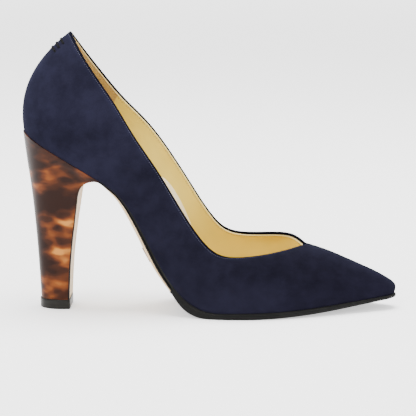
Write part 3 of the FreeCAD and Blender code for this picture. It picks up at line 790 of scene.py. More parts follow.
@dataclass(frozen=True)
class Finish:
    """A procedural finish: a colour range over a soft mottle with a grain in relief.

    Attributes:
        name: The material's name.
        dark: The colour of the darker clouds.
        light: The colour of the lighter clouds.
        roughness: The surface's roughness.
        scale: The clouds' scale, per metre.
        cells: The grain's cells per metre.
        relief: The grain's depth in millimetres.
        metallic: How metallic the surface is.
        specular: The level of its plain reflections.
        coat: The weight of its clear coat.
        sheen: The weight of its cloth sheen.
    """

    name: str
    dark: Colour
    light: Colour
    roughness: float = 0.5
    scale: float = 60.0
    cells: float = 1500.0
    relief: float = 0.04
    metallic: float = 0.0
    specular: float = 0.5
    coat: float = 0.0
    sheen: float = 0.0

    def start(self) -> tuple[bpy.types.Material, Nodes, bpy.types.Node, bpy.types.NodeSocket]:
        """Make the material with its shader and return it with its coordinates.

        Returns:
            The material, its node builder, its shader and its coordinates.
        """
        material = bpy.data.materials.new(self.name)
        material.use_nodes = True
        nodes = Nodes(material.node_tree)
        shader = material.node_tree.nodes["Principled BSDF"]
        for label, value in (("Roughness", self.roughness), ("Metallic", self.metallic),
                             ("Specular IOR Level", self.specular), ("Coat Weight", self.coat),
                             ("Sheen Weight", self.sheen)):
            shader.inputs[label].default_value = value
        place = nodes.add("ShaderNodeTexCoord").outputs["Object"]
        return material, nodes, shader, place

    def relief_on(self, nodes: Nodes, shader: bpy.types.Node, height: bpy.types.NodeSocket) -> None:
        """Raise a height on the shader's normal.

        Args:
            nodes: The material's node builder.
            shader: The shader.
            height: The height over the surface.
        """
        bump = nodes.add("ShaderNodeBump", {"Height": height, "Distance": self.relief * MM,
                                            "Strength": 1.0})
        nodes.tree.links.new(bump.outputs["Normal"], shader.inputs["Normal"])

    def clouds(self, nodes: Nodes, place: bpy.types.NodeSocket, scale: float, low: float = 0.35,
               high: float = 0.65, detail: float = 3.0) -> bpy.types.NodeSocket:
        """Return a soft cloudy mask.

        Args:
            nodes: The material's node builder.
            place: The coordinates.
            scale: The clouds' scale, per metre.
            low: The noise value that becomes 0.
            high: The noise value that becomes 1.
            detail: How many octaves the noise has.

        Returns:
            The socket of the mask.
        """
        node = nodes.add("ShaderNodeGroup", node_tree=Groups.mottle())
        nodes.tree.links.new(place, node.inputs["Vector"])
        for label, value in (("Scale", scale), ("Low", low), ("High", high), ("Detail", detail)):
            node.inputs[label].default_value = value
        return node.outputs["Mask"]

    def grain_height(self, nodes: Nodes, place: bpy.types.NodeSocket) -> bpy.types.NodeSocket:
        """Return the grain's height.

        Args:
            nodes: The material's node builder.
            place: The coordinates.

        Returns:
            The socket of the height.
        """
        node = nodes.add("ShaderNodeGroup", node_tree=Groups.grain())
        nodes.tree.links.new(place, node.inputs["Vector"])
        node.inputs["Cells"].default_value = self.cells
        node.inputs["Fine"].default_value = self.cells * 3.0
        return node.outputs["Height"]

    def build(self) -> bpy.types.Material:
        """Return the finished material.

        Returns:
            The material.
        """
        material, nodes, shader, place = self.start()
        colour = nodes.mix(self.clouds(nodes, place, self.scale), self.dark, self.light)
        nodes.tree.links.new(colour, shader.inputs["Base Color"])
        self.relief_on(nodes, shader, self.grain_height(nodes, place))
        return material


@dataclass(frozen=True)
class SuedeFinish(Finish):
    """Napped suede: brushed patches, mottled nap, fine fibres, and painted shade, highlight and light
    falloff.

    Attributes:
        reach: The places along the shoe, in metres, between which the painted light falloff runs.
        rim_shade_and_highlight: Painted shade at the fold and in the stitch row's shadow, a painted
            highlight band below it, and the plain wall.
        painted_light_falloff: Painted light and shade along the shoe: the tone at the back, in the middle
            and at the toe.
        tint: The colour of the sheen.
    """

    reach: tuple[float, float] = (-0.10, 0.08)
    rim_shade_and_highlight: Sequence[tuple[float, Colour]] = (
        (0.22, (0.28, 0.28, 0.30, 1.0)), (0.34, (1.0, 1.0, 1.0, 1.0)), (0.55, (1.12, 1.14, 1.2, 1.0)),
        (1.0, (1.0, 1.0, 1.0, 1.0)))
    painted_light_falloff: Sequence[tuple[float, Colour]] = (
        (0.0, (1.38, 1.38, 1.38, 1.0)), (0.5, (0.92, 0.90, 0.86, 1.0)), (1.0, (0.74, 0.70, 0.70, 1.0)))
    tint: Colour = (0.34, 0.42, 0.75, 1.0)

    def build(self) -> bpy.types.Material:
        """Return the suede.

        Returns:
            The material.
        """
        material, nodes, shader, place = self.start()
        stretched = nodes.add("ShaderNodeMapping", {
            "Vector": place, "Rotation": (0.0, -0.9, 0.3), "Scale": (0.55, 1.0, 1.4)})
        brushed = self.clouds(nodes, stretched.outputs["Vector"], self.scale, 0.32, 0.7, 2.0)
        nap = self.clouds(nodes, place, self.scale * 9.0, 0.3, 0.72, 4.0)
        fibre = nodes.add("ShaderNodeTexNoise", {
            "Vector": place, "Scale": self.cells, "Detail": 4.0, "Roughness": 0.7}).outputs["Fac"]
        tone = nodes.sum_of((brushed, 0.44), (nap, 0.25), (fibre, 0.5))
        colour = nodes.ramp(tone, [(0.1, self.dark), (0.95, self.light)], "LINEAR")
        # Painted shade on the folded top edge and along the stitch row, and a painted highlight band below
        # the stitches.
        colour = nodes.multiply(colour, nodes.ramp(nodes.rim(), self.rim_shade_and_highlight, "LINEAR"))
        # Painted light falloff along the shoe: lighter at the back, darker towards the toe.
        along = nodes.range(nodes.axis(place, "X"), *self.reach)
        colour = nodes.multiply(colour, nodes.ramp(along, self.painted_light_falloff, "LINEAR"))
        nodes.tree.links.new(colour, shader.inputs["Base Color"])
        shader.inputs["Sheen Roughness"].default_value = 0.45
        shader.inputs["Sheen Tint"].default_value = self.tint
        self.relief_on(nodes, shader, fibre)
        return material


@dataclass(frozen=True)
class LiningFinish(Finish):
    """Satin lining leather with a pale band at its rim, partly the raw edge's colour and partly a painted
    highlight.

    Attributes:
        edge: The colour of the pale rim band: the raw edge's colour, lightened as a painted highlight.
        rim_edge_and_highlight_band: The rim values between which the pale band gives way to the face.
    """

    edge: Colour = (0.70, 0.56, 0.22, 1.0)
    rim_edge_and_highlight_band: tuple[float, float] = (0.07, 0.11)

    def build(self) -> bpy.types.Material:
        """Return the lining.

        Returns:
            The material.
        """
        material, nodes, shader, place = self.start()
        colour = nodes.mix(self.clouds(nodes, place, self.scale, 0.3, 0.7), self.dark, self.light)
        # Pale band at the rim: partly the raw edge's own colour, partly a painted highlight.
        colour = nodes.mix(nodes.range(nodes.rim(), *self.rim_edge_and_highlight_band), self.edge, colour)
        nodes.tree.links.new(colour, shader.inputs["Base Color"])
        self.relief_on(nodes, shader, self.grain_height(nodes, place))
        return material


@dataclass(frozen=True)
class TortoiseshellFinish(Finish):
    """Polished tortoiseshell: dark flakes over amber, drawn out sideways, with painted shade darkening the
    back.

    Attributes:
        brown: The colour between the flakes and the light brown.
        ochre: The colour between the light brown and the amber.
        amber: The colour of the clearest patches.
        bend: How far the flakes are pushed about, in metres.
        reach: The places along the shoe, in metres, between which the painted shade at the back fades out.
    """

    brown: Colour = (0.034, 0.010, 0.004, 1.0)
    ochre: Colour = (0.18, 0.049, 0.009, 1.0)
    amber: Colour = (0.42, 0.17, 0.030, 1.0)
    bend: float = 0.007
    reach: tuple[float, float] = (-0.104, -0.074)

    def build(self) -> bpy.types.Material:
        """Return the tortoiseshell.

        Returns:
            The material.
        """
        material, nodes, shader, place = self.start()
        flat = nodes.add("ShaderNodeMapping", {
            "Vector": place, "Rotation": (0.0, 0.2, 0.0), "Scale": (0.62, 0.6, 1.25),
            "Location": (0.011, 0.02, 0.003)}).outputs["Vector"]
        drift = nodes.add("ShaderNodeTexNoise", {"Vector": flat, "Scale": 110.0, "Detail": 2.0})
        pushed = nodes.add("ShaderNodeVectorMath", {0: drift.outputs["Color"], 1: (self.bend,) * 3},
                           operation="MULTIPLY").outputs["Vector"]
        warped = nodes.add("ShaderNodeVectorMath", {0: flat, 1: pushed},
                           operation="ADD").outputs["Vector"]
        cells = nodes.add("ShaderNodeTexVoronoi", {
            "Vector": warped, "Scale": self.scale * 2.6, "Smoothness": 0.7}, feature="SMOOTH_F1")
        flakes = nodes.add("ShaderNodeTexNoise", {
            "Vector": warped, "Scale": self.scale * 1.35, "Detail": 2.0, "Roughness": 0.45})
        patches = nodes.add("ShaderNodeTexNoise", {
            "Vector": flat, "Scale": self.scale * 0.5, "Detail": 1.0})
        # Painted shade: the shell darker towards the back, lighter towards the breast.
        back_shade = nodes.range(nodes.axis(place, "X"), *self.reach, -0.035, 0.035)
        tone = nodes.sum_of((flakes.outputs["Fac"], 0.55), (patches.outputs["Fac"], 0.30),
                            (cells.outputs["Distance"], 0.30), (back_shade, 1.0))
        colour = nodes.ramp(tone, [
            (0.485, self.dark), (0.57, self.brown), (0.622, self.light), (0.68, self.ochre),
            (0.75, self.amber)], "LINEAR")
        nodes.tree.links.new(colour, shader.inputs["Base Color"])
        shader.inputs["Coat Roughness"].default_value = 0.05
        shader.inputs["Coat IOR"].default_value = 1.3
        return material


@dataclass(frozen=True)
class ThreadFinish(Finish):
    """Twisted thread."""

    def build(self) -> bpy.types.Material:
        """Return the thread.

        Returns:
            The material.
        """
        material, nodes, shader, place = self.start()
        wave = nodes.add("ShaderNodeTexWave", {"Vector": place, "Scale": self.cells, "Distortion": 2.0},
                         bands_direction="DIAGONAL")
        colour = nodes.mix(wave.outputs["Fac"], self.dark, self.light)
        nodes.tree.links.new(colour, shader.inputs["Base Color"])
        self.relief_on(nodes, shader, wave.outputs["Fac"])
        return material


def rgb(red: float, green: float, blue: float) -> Colour:
    """Return an opaque colour."""
    return (red, green, blue, 1.0)


class Palette:
    """Every finish of the shoe, built once."""

    def __init__(self) -> None:
        """Build the materials."""
        self.suede = SuedeFinish("navy_suede", rgb(0.0036, 0.0034, 0.0066),
                                 rgb(0.0118, 0.0116, 0.0235), 0.95, scale=16.0, cells=2600.0, relief=0.10,
                                 specular=0.02, sheen=0.03).build()
        self.lining = LiningFinish("gold_lining", rgb(0.66, 0.49, 0.085), rgb(0.74, 0.565, 0.11), 0.5,
                                   scale=35.0, cells=2200.0, relief=0.02, specular=0.25).build()
        self.sock = Finish("gold_sock", rgb(0.66, 0.49, 0.085), rgb(0.74, 0.565, 0.11), 0.5, scale=35.0,
                           cells=2200.0, relief=0.02, specular=0.25).build()
        # The heel grip's pale rim band is partly its raw edge and partly a painted highlight.
        self.grip = LiningFinish("tan_grip", rgb(0.38, 0.24, 0.075), rgb(0.44, 0.29, 0.095), 0.7,
                                 scale=60.0, cells=2600.0, relief=0.05, specular=0.3,
                                 edge=rgb(0.52, 0.38, 0.15)).build()
        self.cream = Finish("cream_pad", rgb(0.74, 0.63, 0.40), rgb(0.80, 0.70, 0.46), 0.55,
                            cells=2000.0, relief=0.03).build()
        self.tortoise = TortoiseshellFinish("tortoiseshell", rgb(0.014, 0.0044, 0.0024),
                                            rgb(0.085, 0.022, 0.006), 0.4, scale=60.0, specular=0.04,
                                            coat=0.2).build()
        self.beige = Finish("sole_leather", rgb(0.56, 0.395, 0.21), rgb(0.63, 0.46, 0.26), 0.5,
                            scale=90.0, cells=1800.0, relief=0.02, specular=0.25).build()
        self.paint = Finish("edge_paint", rgb(0.003, 0.003, 0.0025), rgb(0.005, 0.0045, 0.004), 0.35,
                            scale=200.0, cells=900.0, relief=0.02, specular=0.15).build()
        self.rubber = Finish("sole_rubber", rgb(0.003, 0.003, 0.0028), rgb(0.005, 0.005, 0.0045), 0.5,
                             scale=120.0, cells=2500.0, relief=0.03, specular=0.1).build()
        self.tip = Finish("top_piece_rubber", rgb(0.0062, 0.0056, 0.0042), rgb(0.0085, 0.0078, 0.006), 0.35,
                          scale=150.0, cells=2500.0, relief=0.012, specular=0.18).build()
        self.navy_thread = ThreadFinish("navy_thread", rgb(0.022, 0.024, 0.045),
                                        rgb(0.06, 0.064, 0.10), 0.7, cells=900.0, relief=0.05).build()
        self.gold_thread = ThreadFinish("gold_thread", rgb(0.26, 0.17, 0.07), rgb(0.42, 0.30, 0.13), 0.7,
                                        cells=900.0, relief=0.05).build()
        self.black_thread = ThreadFinish("black_thread", rgb(0.0015, 0.0015, 0.002),
                                         rgb(0.004, 0.004, 0.005), 0.7, cells=1400.0, relief=0.12,
                                         specular=0.1).build()
        self.tape = Finish("dark_tape", rgb(0.012, 0.012, 0.018), rgb(0.02, 0.02, 0.03), 0.8,
                           cells=2500.0, relief=0.05).build()
        self.brass = Finish("plaque_metal", rgb(0.13, 0.085, 0.058), rgb(0.22, 0.165, 0.13), 0.32,
                            scale=70.0, cells=3000.0, relief=0.01, metallic=0.9).build()
        self.steel = Finish("spring_steel", rgb(0.42, 0.42, 0.43), rgb(0.55, 0.55, 0.56), 0.35,
                            scale=300.0, cells=3000.0, relief=0.01, metallic=1.0).build()
        self.board = Finish("fibreboard", rgb(0.36, 0.25, 0.15), rgb(0.50, 0.37, 0.24), 0.85,
                            scale=300.0, cells=1200.0, relief=0.08).build()
        self.foam = Finish("latex_foam", rgb(0.72, 0.68, 0.56), rgb(0.80, 0.76, 0.64), 0.9,
                           scale=200.0, cells=1500.0, relief=0.1).build()
        self.cloth = Finish("backer_cloth", rgb(0.66, 0.64, 0.58), rgb(0.76, 0.74, 0.68), 0.9,
                            scale=200.0, cells=2500.0, relief=0.08).build()
        self.plastic = Finish("heel_plastic", rgb(0.70, 0.69, 0.66), rgb(0.78, 0.77, 0.74), 0.5,
                              scale=100.0, cells=900.0, relief=0.02).build()


# ------------------------------------------------------------------------------ the upper
@dataclass(frozen=True)
class StitchRow:
    """A row of stitches that runs round the topline.

    Attributes:
        drop: The row's distance below the top edge.
        pitch: The distance from stitch to stitch.
        length: The length of one stitch.
        width: Its width.
        proud: How far its middle stands over the face.
        depth: The depth of the face that it lies on, 0 for the outer face.
        ends: The stations left free at the back seam and at the throat.
    """

    drop: float
    pitch: float
    length: float
    width: float
    proud: float
    depth: float = 0.0
    ends: tuple[float, float] = (0.002, 0.004)

    def mesh(self) -> bmesh.types.BMesh:
        """Return the stitches as one mesh.

        Returns:
            The mesh in metres.
        """
        mesh = bmesh.new()
        sign = 1.0 if self.depth == 0.0 else -1.0
        size = Vector((self.length, self.width, self.width)) / 2.0 * MM
        scale = Matrix.Diagonal((*size, 1.0)) @ Matrix.Rotation(math.pi / 2, 4, "Y")
        for side in Side:
            stations = steps(self.ends[0], LAST.throat - self.ends[1], 900)
            marks = [side.value * station for station in stations]
            line = [LAST.inside(mark, LAST.rise_at(mark, 1.0, self.drop), self.depth) for mark in marks]
            travelled, due = 0.0, self.pitch / 2.0
            for mark, behind, here in zip(marks[1:], line, line[1:]):
                travelled += (here - behind).length
                if travelled < due:
                    continue
                due += self.pitch
                normal = LAST.normal(mark, LAST.rise_at(mark, 1.0, self.drop)) * sign
                along = (here - behind).normalized()
                across = normal.cross(along).normalized()
                turn = Matrix((along, across, normal)).transposed().to_4x4()
                place = Matrix.Translation((here + normal * (self.proud - self.width / 4.0)) * MM)
                bmesh.ops.create_uvsphere(mesh, u_segments=6, v_segments=4, radius=1.0,
                                          matrix=place @ turn @ scale)
        return mesh


def add_tube(mesh: bmesh.types.BMesh, path: Sequence[Vector], radius: float, sides: int) -> None:
    """Extrude a round tube along a path of points, closed at both ends.

    Args:
        mesh: The mesh that gets the tube.
        path: The points in millimetres.
        radius: The tube's radius in millimetres.
        sides: How many sides it has.
    """
    def ring_frame(index: int) -> Matrix:
        """Return the frame of the ring at a point of the path.

        Args:
            index: The point's number.

        Returns:
            The frame in metres.
        """
        ahead = path[min(index + 1, len(path) - 1)]
        behind = path[max(index - 1, 0)]
        turn = (ahead - behind).to_track_quat("Z", "Y").to_matrix().to_4x4()
        return Matrix.Translation(path[index] * MM) @ turn

    here = ring_frame(0)
    made = bmesh.ops.create_circle(mesh, cap_ends=True, segments=sides, radius=radius * MM, matrix=here)
    tip = made["verts"][0].link_faces[0]
    for index in range(1, len(path)):
        spent, there = tip, ring_frame(index)
        made = bmesh.ops.extrude_face_region(mesh, geom=[spent], use_keep_orig=index == 1)
        fresh = [item for item in made["geom"] if isinstance(item, bmesh.types.BMVert)]
        tip = next(item for item in made["geom"] if isinstance(item, bmesh.types.BMFace))
        bmesh.ops.transform(mesh, matrix=there @ here.inverted(), verts=fresh)
        if index > 1:
            bmesh.ops.delete(mesh, geom=[spent], context="FACES_ONLY")
        here = there


@dataclass
class Upper:
    """The suede upper, its back seam, its stitch row and its bar tacks.

    Attributes:
        thickness: The suede's thickness.
        fold: The depth of the folded top edge.
        stitches: The stitch row under the fold.
        tack_drops: The drops of the bar tacks.
        tack_reach: How far a tack runs to each side of the seam, as a station.
        tack_radius: The radius of a tack's strands.
        tack_spread: The distance between its strands.
        tack_proud: How far a tack stands over the suede.
        tack_sink: How far its ends dive under the suede.
    """

    thickness: float = 1.1
    fold: float = 1.6
    stitches: StitchRow = StitchRow(drop=1.7, pitch=1.15, length=0.62, width=0.34, proud=0.06)
    tack_drops: tuple[float, ...] = (7.2, 10.9, 14.6)
    tack_reach: float = 0.027
    tack_radius: float = 0.25
    tack_spread: float = 0.36
    tack_proud: float = 0.16
    tack_sink: float = 0.6

    def build(self, palette: Palette) -> None:
        """Build the upper's pieces.

        Args:
            palette: The finishes.
        """
        shell = Shell(0.0, self.thickness, self.fold, stitch=self.stitches.drop)
        marks = marks_between(-1.0, 0.0)[:-1] + marks_between(0.0, 1.0)
        finish_piece("suede_upper", shell.mesh(marks), [palette.suede], ["upper_suede"])
        finish_piece("topline_stitches", self.stitches.mesh(), [palette.navy_thread])
        finish_piece("bar_tacks", self.tacks(), [palette.black_thread],
                     ["back_bar_tacks"])

    def tacks(self) -> bmesh.types.BMesh:
        """Return the three bar stitches that close the top of the back seam.

        Returns:
            The mesh in metres.
        """
        mesh = bmesh.new()
        half = self.tack_reach
        for drop in self.tack_drops:
            rise = LAST.rise_at(0.0, 1.0, drop)
            up = (LAST.point(0.0, rise + 0.01) - LAST.point(0.0, rise)).normalized()
            path = []
            for mark in steps(-half, half, 22):
                sink = self.tack_sink * smooth(abs(mark), half * 0.85, half)
                path.append(LAST.inside(mark, rise, sink - self.tack_proud))
            for shift in (-self.tack_spread, 0.0, self.tack_spread):
                add_tube(mesh, [point + up * shift for point in path], self.tack_radius, 8)
        return mesh


# ------------------------------------------------------------------------------ the lining
@dataclass
class Linings:
    """The gold lining and the tan heel grip, which share one seam at each side of the heel.

    Attributes:
        outer: The depth of the lining's outer face.
        inner: The depth of its inner face.
        lip: The drop of its top edge below the topline.
        stitches: The stitch row on its inner face.
        grip_end: The station at which the grip meets the gold lining.
        overlap: How far the grip reaches over the lining, as a station.
        grip_lift: How much the grip's outer and inner faces lie deeper than the lining's.
    """

    outer: float = 1.7
    inner: float = 2.5
    lip: float = 0.55
    stitches: StitchRow = StitchRow(drop=2.0, pitch=1.5, length=0.9, width=0.3, proud=0.05, depth=2.55)
    grip_end: float = 0.185
    overlap: float = 0.006
    grip_lift: tuple[float, float] = (0.1, 0.25)

    def wall(self, outer: float, inner: float) -> Shell:
        """Return a lining's wall between two depths."""
        return Shell(outer, inner, inner, lip=self.lip, stitch=self.stitches.drop, stitch_face=True,
                     groove=0.12, coarse=18)

    def build(self, palette: Palette) -> None:
        """Build the linings.

        Args:
            palette: The finishes.
        """
        marks = marks_between(-self.grip_end, -1.0) + marks_between(1.0, self.grip_end)
        lining = self.wall(self.outer, self.inner).mesh(marks)
        finish_piece("gold_lining", lining, [palette.lining],
                     ["quarter_lining_lateral", "quarter_lining_medial", "vamp_lining"])
        end = self.grip_end + self.overlap
        marks = marks_between(-end, 0.0)[:-1] + marks_between(0.0, end)
        grip = self.wall(self.outer + self.grip_lift[0], self.inner + self.grip_lift[1]).mesh(marks)
        finish_piece("heel_grip", grip, [palette.grip], ["heel_grip_lining"])
        finish_piece("lining_stitches", self.stitches.mesh(), [palette.gold_thread])


@dataclass
class Fittings:
    """The dark patch at the back seam and the cream cushion at the arch.

    Attributes:
        patch_depth: The depth of the patch's back.
        patch_reach: The patch's reach to each side of the seam, as a station.
        patch_drop: The drop of its middle below the topline.
        patch_half: Half its height.
        patch_swell: Its thickness at the rim and the crown added to it.
        cushion_depth: The depth of the cushion's back.
        cushion_middle: The cushion's middle, as a station.
        cushion_reach: Its reach to each side of its middle, as a station.
        cushion_rise: The rise of its middle.
        cushion_half: Half its height, as a rise.
        cushion_crown: Its thickness in the middle.
    """

    patch_depth: float = 2.78
    patch_reach: float = 0.034
    patch_drop: float = 4.1
    patch_half: float = 3.6
    patch_swell: tuple[float, float] = (0.35, 0.25)
    cushion_depth: float = 2.5
    cushion_middle: float = 0.45
    cushion_reach: float = 0.074
    cushion_rise: float = 0.45
    cushion_half: float = 0.24
    cushion_crown: float = 2.6

    def patch_point(self, across: float, up: float, lift: float) -> Vector:
        """Return a point of the back patch; across and up run from -1 to 1.

        Args:
            across: -1 to 1 from side to side.
            up: -1 to 1 from bottom to top.
            lift: 0 at the back face and 1 at the front face.

        Returns:
            The point in millimetres.
        """
        mark = self.patch_reach * across
        rise = LAST.rise_at(mark, 1.0, self.patch_drop - self.patch_half * up)
        rim, crown = self.patch_swell
        swell = rim + crown * (1.0 - across * across) * (1.0 - up * up)
        return LAST.inside(mark, rise, self.patch_depth + swell * lift)

    def cushion_point(self, along: float, up: float, lift: float) -> Vector:
        """Return a point of the arch cushion: a long lens on the medial lining.

        Args:
            along: -1 to 1 from back to front.
            up: -1 to 1 from bottom to top.
            lift: 0 at the back face and 1 at the front face.

        Returns:
            The point in millimetres.
        """
        mark = self.cushion_middle + self.cushion_reach * along
        bow = max(1.0 - along * along, 0.0)
        rise = self.cushion_rise + self.cushion_half * math.sqrt(bow) * up
        crown = self.cushion_crown * bow ** 0.8 * max(1.0 - up * up, 0.0) ** 0.55
        return LAST.inside(mark, rise, self.cushion_depth + crown * lift)

    @staticmethod
    def lens(columns: int, rows: int, place: Callable[[float, float, float], Vector]) -> bmesh.types.BMesh:
        """Return a closed lens whose two faces meet at its rim.

        Args:
            columns: Vertices along the lens.
            rows: Vertices across one face.
            place: Gives a point from along, up and a lift of 0 at the back and 1 at the front.

        Returns:
            The closed mesh.
        """
        lines = [(up, 1.0) for up in swing(rows)]
        lines += [(up, 0.0) for up, _ in reversed(lines[:-1])]
        alongs = swing(columns)
        mesh, _ = mapped_grid(len(alongs), len(lines), lambda c, r: place(alongs[c], *lines[r]))
        weld(mesh, 0.02)
        return mesh

    def build(self, palette: Palette) -> None:
        """Build the patch and the cushion.

        Args:
            palette: The finishes.
        """
        patch = self.lens(16, 12, self.patch_point)
        finish_piece("back_patch", patch, [palette.tape], ["back_tab"])
        cushion = self.lens(48, 20, self.cushion_point)
        pad = finish_piece("arch_cushion", cushion, [palette.cream], ["arch_pad"])


# ------------------------------------------------------------------------------ the bottom
@dataclass(frozen=True)
class Layer:
    """One soft layer on the insole.

    Attributes:
        first: The x of its back end.
        last: The x of its front end.
        low: The height of its underside over the feather profile.
        high: The height of its top face at the edges.
        inset: How far it stays inside the feather edge.
        dome: How much its middle stands above its edges.
        round_ends: The length over which its ends are rounded.
    """

    first: float
    last: float
    low: float
    high: float
    inset: float
    dome: float
    round_ends: float


@dataclass
class InnerSole:
    """The sock lining and the two foam cushions under it."""

    sock: Layer = Layer(-98.4, 90.0, 5.6, 6.5, inset=3.4, dome=0.0, round_ends=9.0)
    heel: Layer = Layer(-96.5, -50.0, 3.5, 4.7, inset=5.0, dome=0.6, round_ends=12.0)
    ball: Layer = Layer(-20.0, 70.0, 3.5, 4.7, inset=6.4, dome=0.6, round_ends=14.0)

    def point(self, x: float, across: float, height: float, inset: float, dome: float) -> Vector:
        """Return a point of a sheet that follows the feather profile.

        Args:
            x: The place along the shoe.
            across: -1 at the lateral edge and 1 at the medial edge.
            height: The height over the feather profile.
            inset: The distance that the sheet stays inside the feather edge.
            dome: How much the middle stands above the edge.

        Returns:
            The point in millimetres.
        """
        lateral, medial = self.edge(Side.LATERAL, x), self.edge(Side.MEDIAL, x)
        low, high = min(lateral + inset, 0.0), max(medial - inset, 0.0)
        y = low + (high - low) * (across + 1.0) / 2.0
        base = Vector((x, y, LAST.seat(x)))
        return base + LAST.seat_normal(x) * (height + dome * (1.0 - across ** 4))

    @staticmethod
    def edge(side: Side, x: float) -> float:
        """Return the feather edge's y at a place along the shoe.

        Args:
            side: The side of the shoe.
            x: The place along the shoe.

        Returns:
            The y of the feather edge.
        """
        low, high = 0.0, 1.0
        for _ in range(24):
            middle = (low + high) / 2.0
            if LAST.feather[side].at(middle)[0] < x:
                low = middle
            else:
                high = middle
        return LAST.feather[side].at(low)[1]

    def sheet(self, layer: Layer) -> bmesh.types.BMesh:
        """Return a layer as a closed sheet with a soft edge.

        Args:
            layer: The layer's sizes.

        Returns:
            The mesh in metres.
        """
        middle, half = (layer.first + layer.last) / 2.0, (layer.last - layer.first) / 2.0
        xs = [middle + half * share for share in swing(90)]
        ring = [(across, 1) for across in swing(22)]
        ring += [(across, 0) for across, _ in reversed(ring)]
        ring.append(ring[0])

        def place(column: int, row: int) -> Vector:
            """Return the place of one corner.

            Args:
                column: The corner's number along the piece.
                row: Its number round the section.

            Returns:
                The point in millimetres.
            """
            x = xs[column]
            across, top = ring[row]
            near = min(x - layer.first, layer.last - x)
            rest = max(1.0 - near / layer.round_ends, 0.0)
            cap = math.sqrt(max(1.0 - rest * rest, 0.0))
            lift = layer.high if top else layer.low
            height = layer.low + (lift - layer.low) * (0.55 + 0.45 * cap)
            return self.point(x, across * cap, height, layer.inset, layer.dome * cap if top else 0.0)

        mesh, _ = mapped_grid(len(xs), len(ring), place)
        weld(mesh, 0.02)
        return mesh

    def build(self, palette: Palette) -> None:
        """Build the sock and the cushions.

        Args:
            palette: The finishes.
        """
        finish_piece("sock_lining", self.sheet(self.sock), [palette.sock],
                     ["sock_lining"])
        for name, layer, node in (("heel_cushion", self.heel, "heel_foam_pad"),
                                  ("ball_cushion", self.ball, "ball_foam_pad")):
            pad = finish_piece(name, self.sheet(layer), [palette.foam], [node])


@dataclass
class Outsole:
    """The leather outsole: the waist and the flap down the heel breast, with a painted edge.

    Attributes:
        breast: Up the heel breast: x and z of the inner line, the edge's thickness, the half widths
            to the lateral and the medial side, and the crown.
        turn: The same values where the flap turns forward into the waist.
        waist: Along the waist: x, the edge's thickness and the crown.
        overhang: How far the waist's edge stands past the feather edge.
        edge_bulge: How far the painted edge swells out halfway down.
        crown_reach: The share of the width over which the crown rises.
    """

    breast: Rows = (
        (-78.3, 5.35, 0.9, 10.2, 10.2, -0.3), (-76.9, 30.0, 0.9, 11.5, 11.5, -0.3),
        (-75.4, 43.1, 0.9, 12.7, 12.7, -0.3), (-72.7, 62.6, 0.9, 16.7, 16.7, -0.3),
        (-71.8, 67.4, 0.9, 18.2, 18.0, -0.3), (-69.4, 71.8, 0.85, 20.3, 19.8, -0.2),
        (-66.9, 73.7, 0.8, 21.7, 20.7, 0.0))
    turn: Sequence[float] = (-64.0, 74.7, 0.75, 23.0, 21.6, 0.0)
    waist: Rows = (
        (-60.0, 1.0, 0.05), (-55.0, 1.15, 0.6), (-50.0, 1.4, 1.15), (-42.0, 1.85, 1.65),
        (-36.0, 2.15, 1.75), (-30.0, 2.4, 1.7), (-24.0, 2.55, 1.5), (-17.5, 2.6, 1.2))
    overhang: float = -0.1
    edge_bulge: float = 0.10
    crown_reach: float = 0.11

    def line(self) -> Track:
        """Return the outsole's values along its inner line, keyed by the distance travelled.

        Returns:
            The track of the values.
        """
        rows = [*self.breast, self.turn]
        for x, edge, crown in self.waist:
            rows.append((x, LAST.seat(x), edge, self.overhang - InnerSole.edge(Side.LATERAL, x),
                         InnerSole.edge(Side.MEDIAL, x) + self.overhang, crown))
        key, keyed = 0.0, [[0.0, *rows[0]]]
        for before, row in zip(rows, rows[1:]):
            key += math.hypot(row[0] - before[0], row[1] - before[1])
            keyed.append([key, *row])
        return Track(keyed)

    @staticmethod
    def ring() -> list[tuple[float, float, int]]:
        """Return the section: the share of the width, the share of the edge, and 1 for the sole.

        Returns:
            The corners in order, with the first one again at the end.
        """
        edge = [(0.0, 0.0), (0.0, 0.33), (0.01, 0.5), (0.0, 0.67), (0.0, 0.9), (0.003, 0.97), (0.012, 1.0)]
        across = [0.022, 0.04, 0.06, 0.085, 0.12, 0.17, 0.24, 0.34, 0.5]
        half = [(share, dip, 0) for share, dip in edge] + [(share, 1.0, 1) for share in across]
        ring = half + [(1.0 - share, dip, kind) for share, dip, kind in reversed(half[:-1])]
        return [*ring, ring[0]]

    def build(self, palette: Palette) -> None:
        """Build the outsole: a ring of faces swept along its line.

        Args:
            palette: The finishes.
        """
        track = self.line()
        keys = steps(track.keys[0], track.keys[-1], 150)
        ring = self.ring()

        def place(column: int, row: int) -> Vector:
            """Return the place of one corner.

            Args:
                column: The corner's number along the piece.
                row: Its number round the section.

            Returns:
                The point in millimetres.
            """
            key = keys[column]
            x, z, edge, lateral, medial, crown = track.at(key)
            ahead = Vector(track.at(key + 0.2)[:2]) - Vector(track.at(key - 0.2)[:2])
            ahead.normalize()
            down = Vector((ahead.y, 0.0, -ahead.x))
            share, dip, sole = ring[row]
            near = min(share, 1.0 - share)
            bulge, out = 0.0, 0.0
            if sole:
                bulge = crown * (1.0 - (1.0 - min(near / self.crown_reach, 1.0)) ** 2)
            else:
                out = self.edge_bulge * math.sin(math.pi * dip)
            y = -lateral + (lateral + medial) * share + (-out if share < 0.5 else out)
            return Vector((x, y, z)) + down * (edge * dip + bulge)

        mesh, table = mapped_grid(len(keys), len(ring), place)
        for column in range(len(keys) - 1):
            for row in range(len(ring) - 1):
                if ring[row][2] or ring[row + 1][2]:
                    corners = {table[column][row], table[column + 1][row + 1]}
                    for face in table[column][row].link_faces:
                        if corners <= set(face.verts):
                            face.material_index = 1
        for line in (table[0], table[-1]):
            bmesh.ops.contextual_create(mesh, geom=line[:-1])
        weld(mesh)
        finish_piece("outsole", mesh, [palette.paint, palette.beige], ["outsole_leather"])


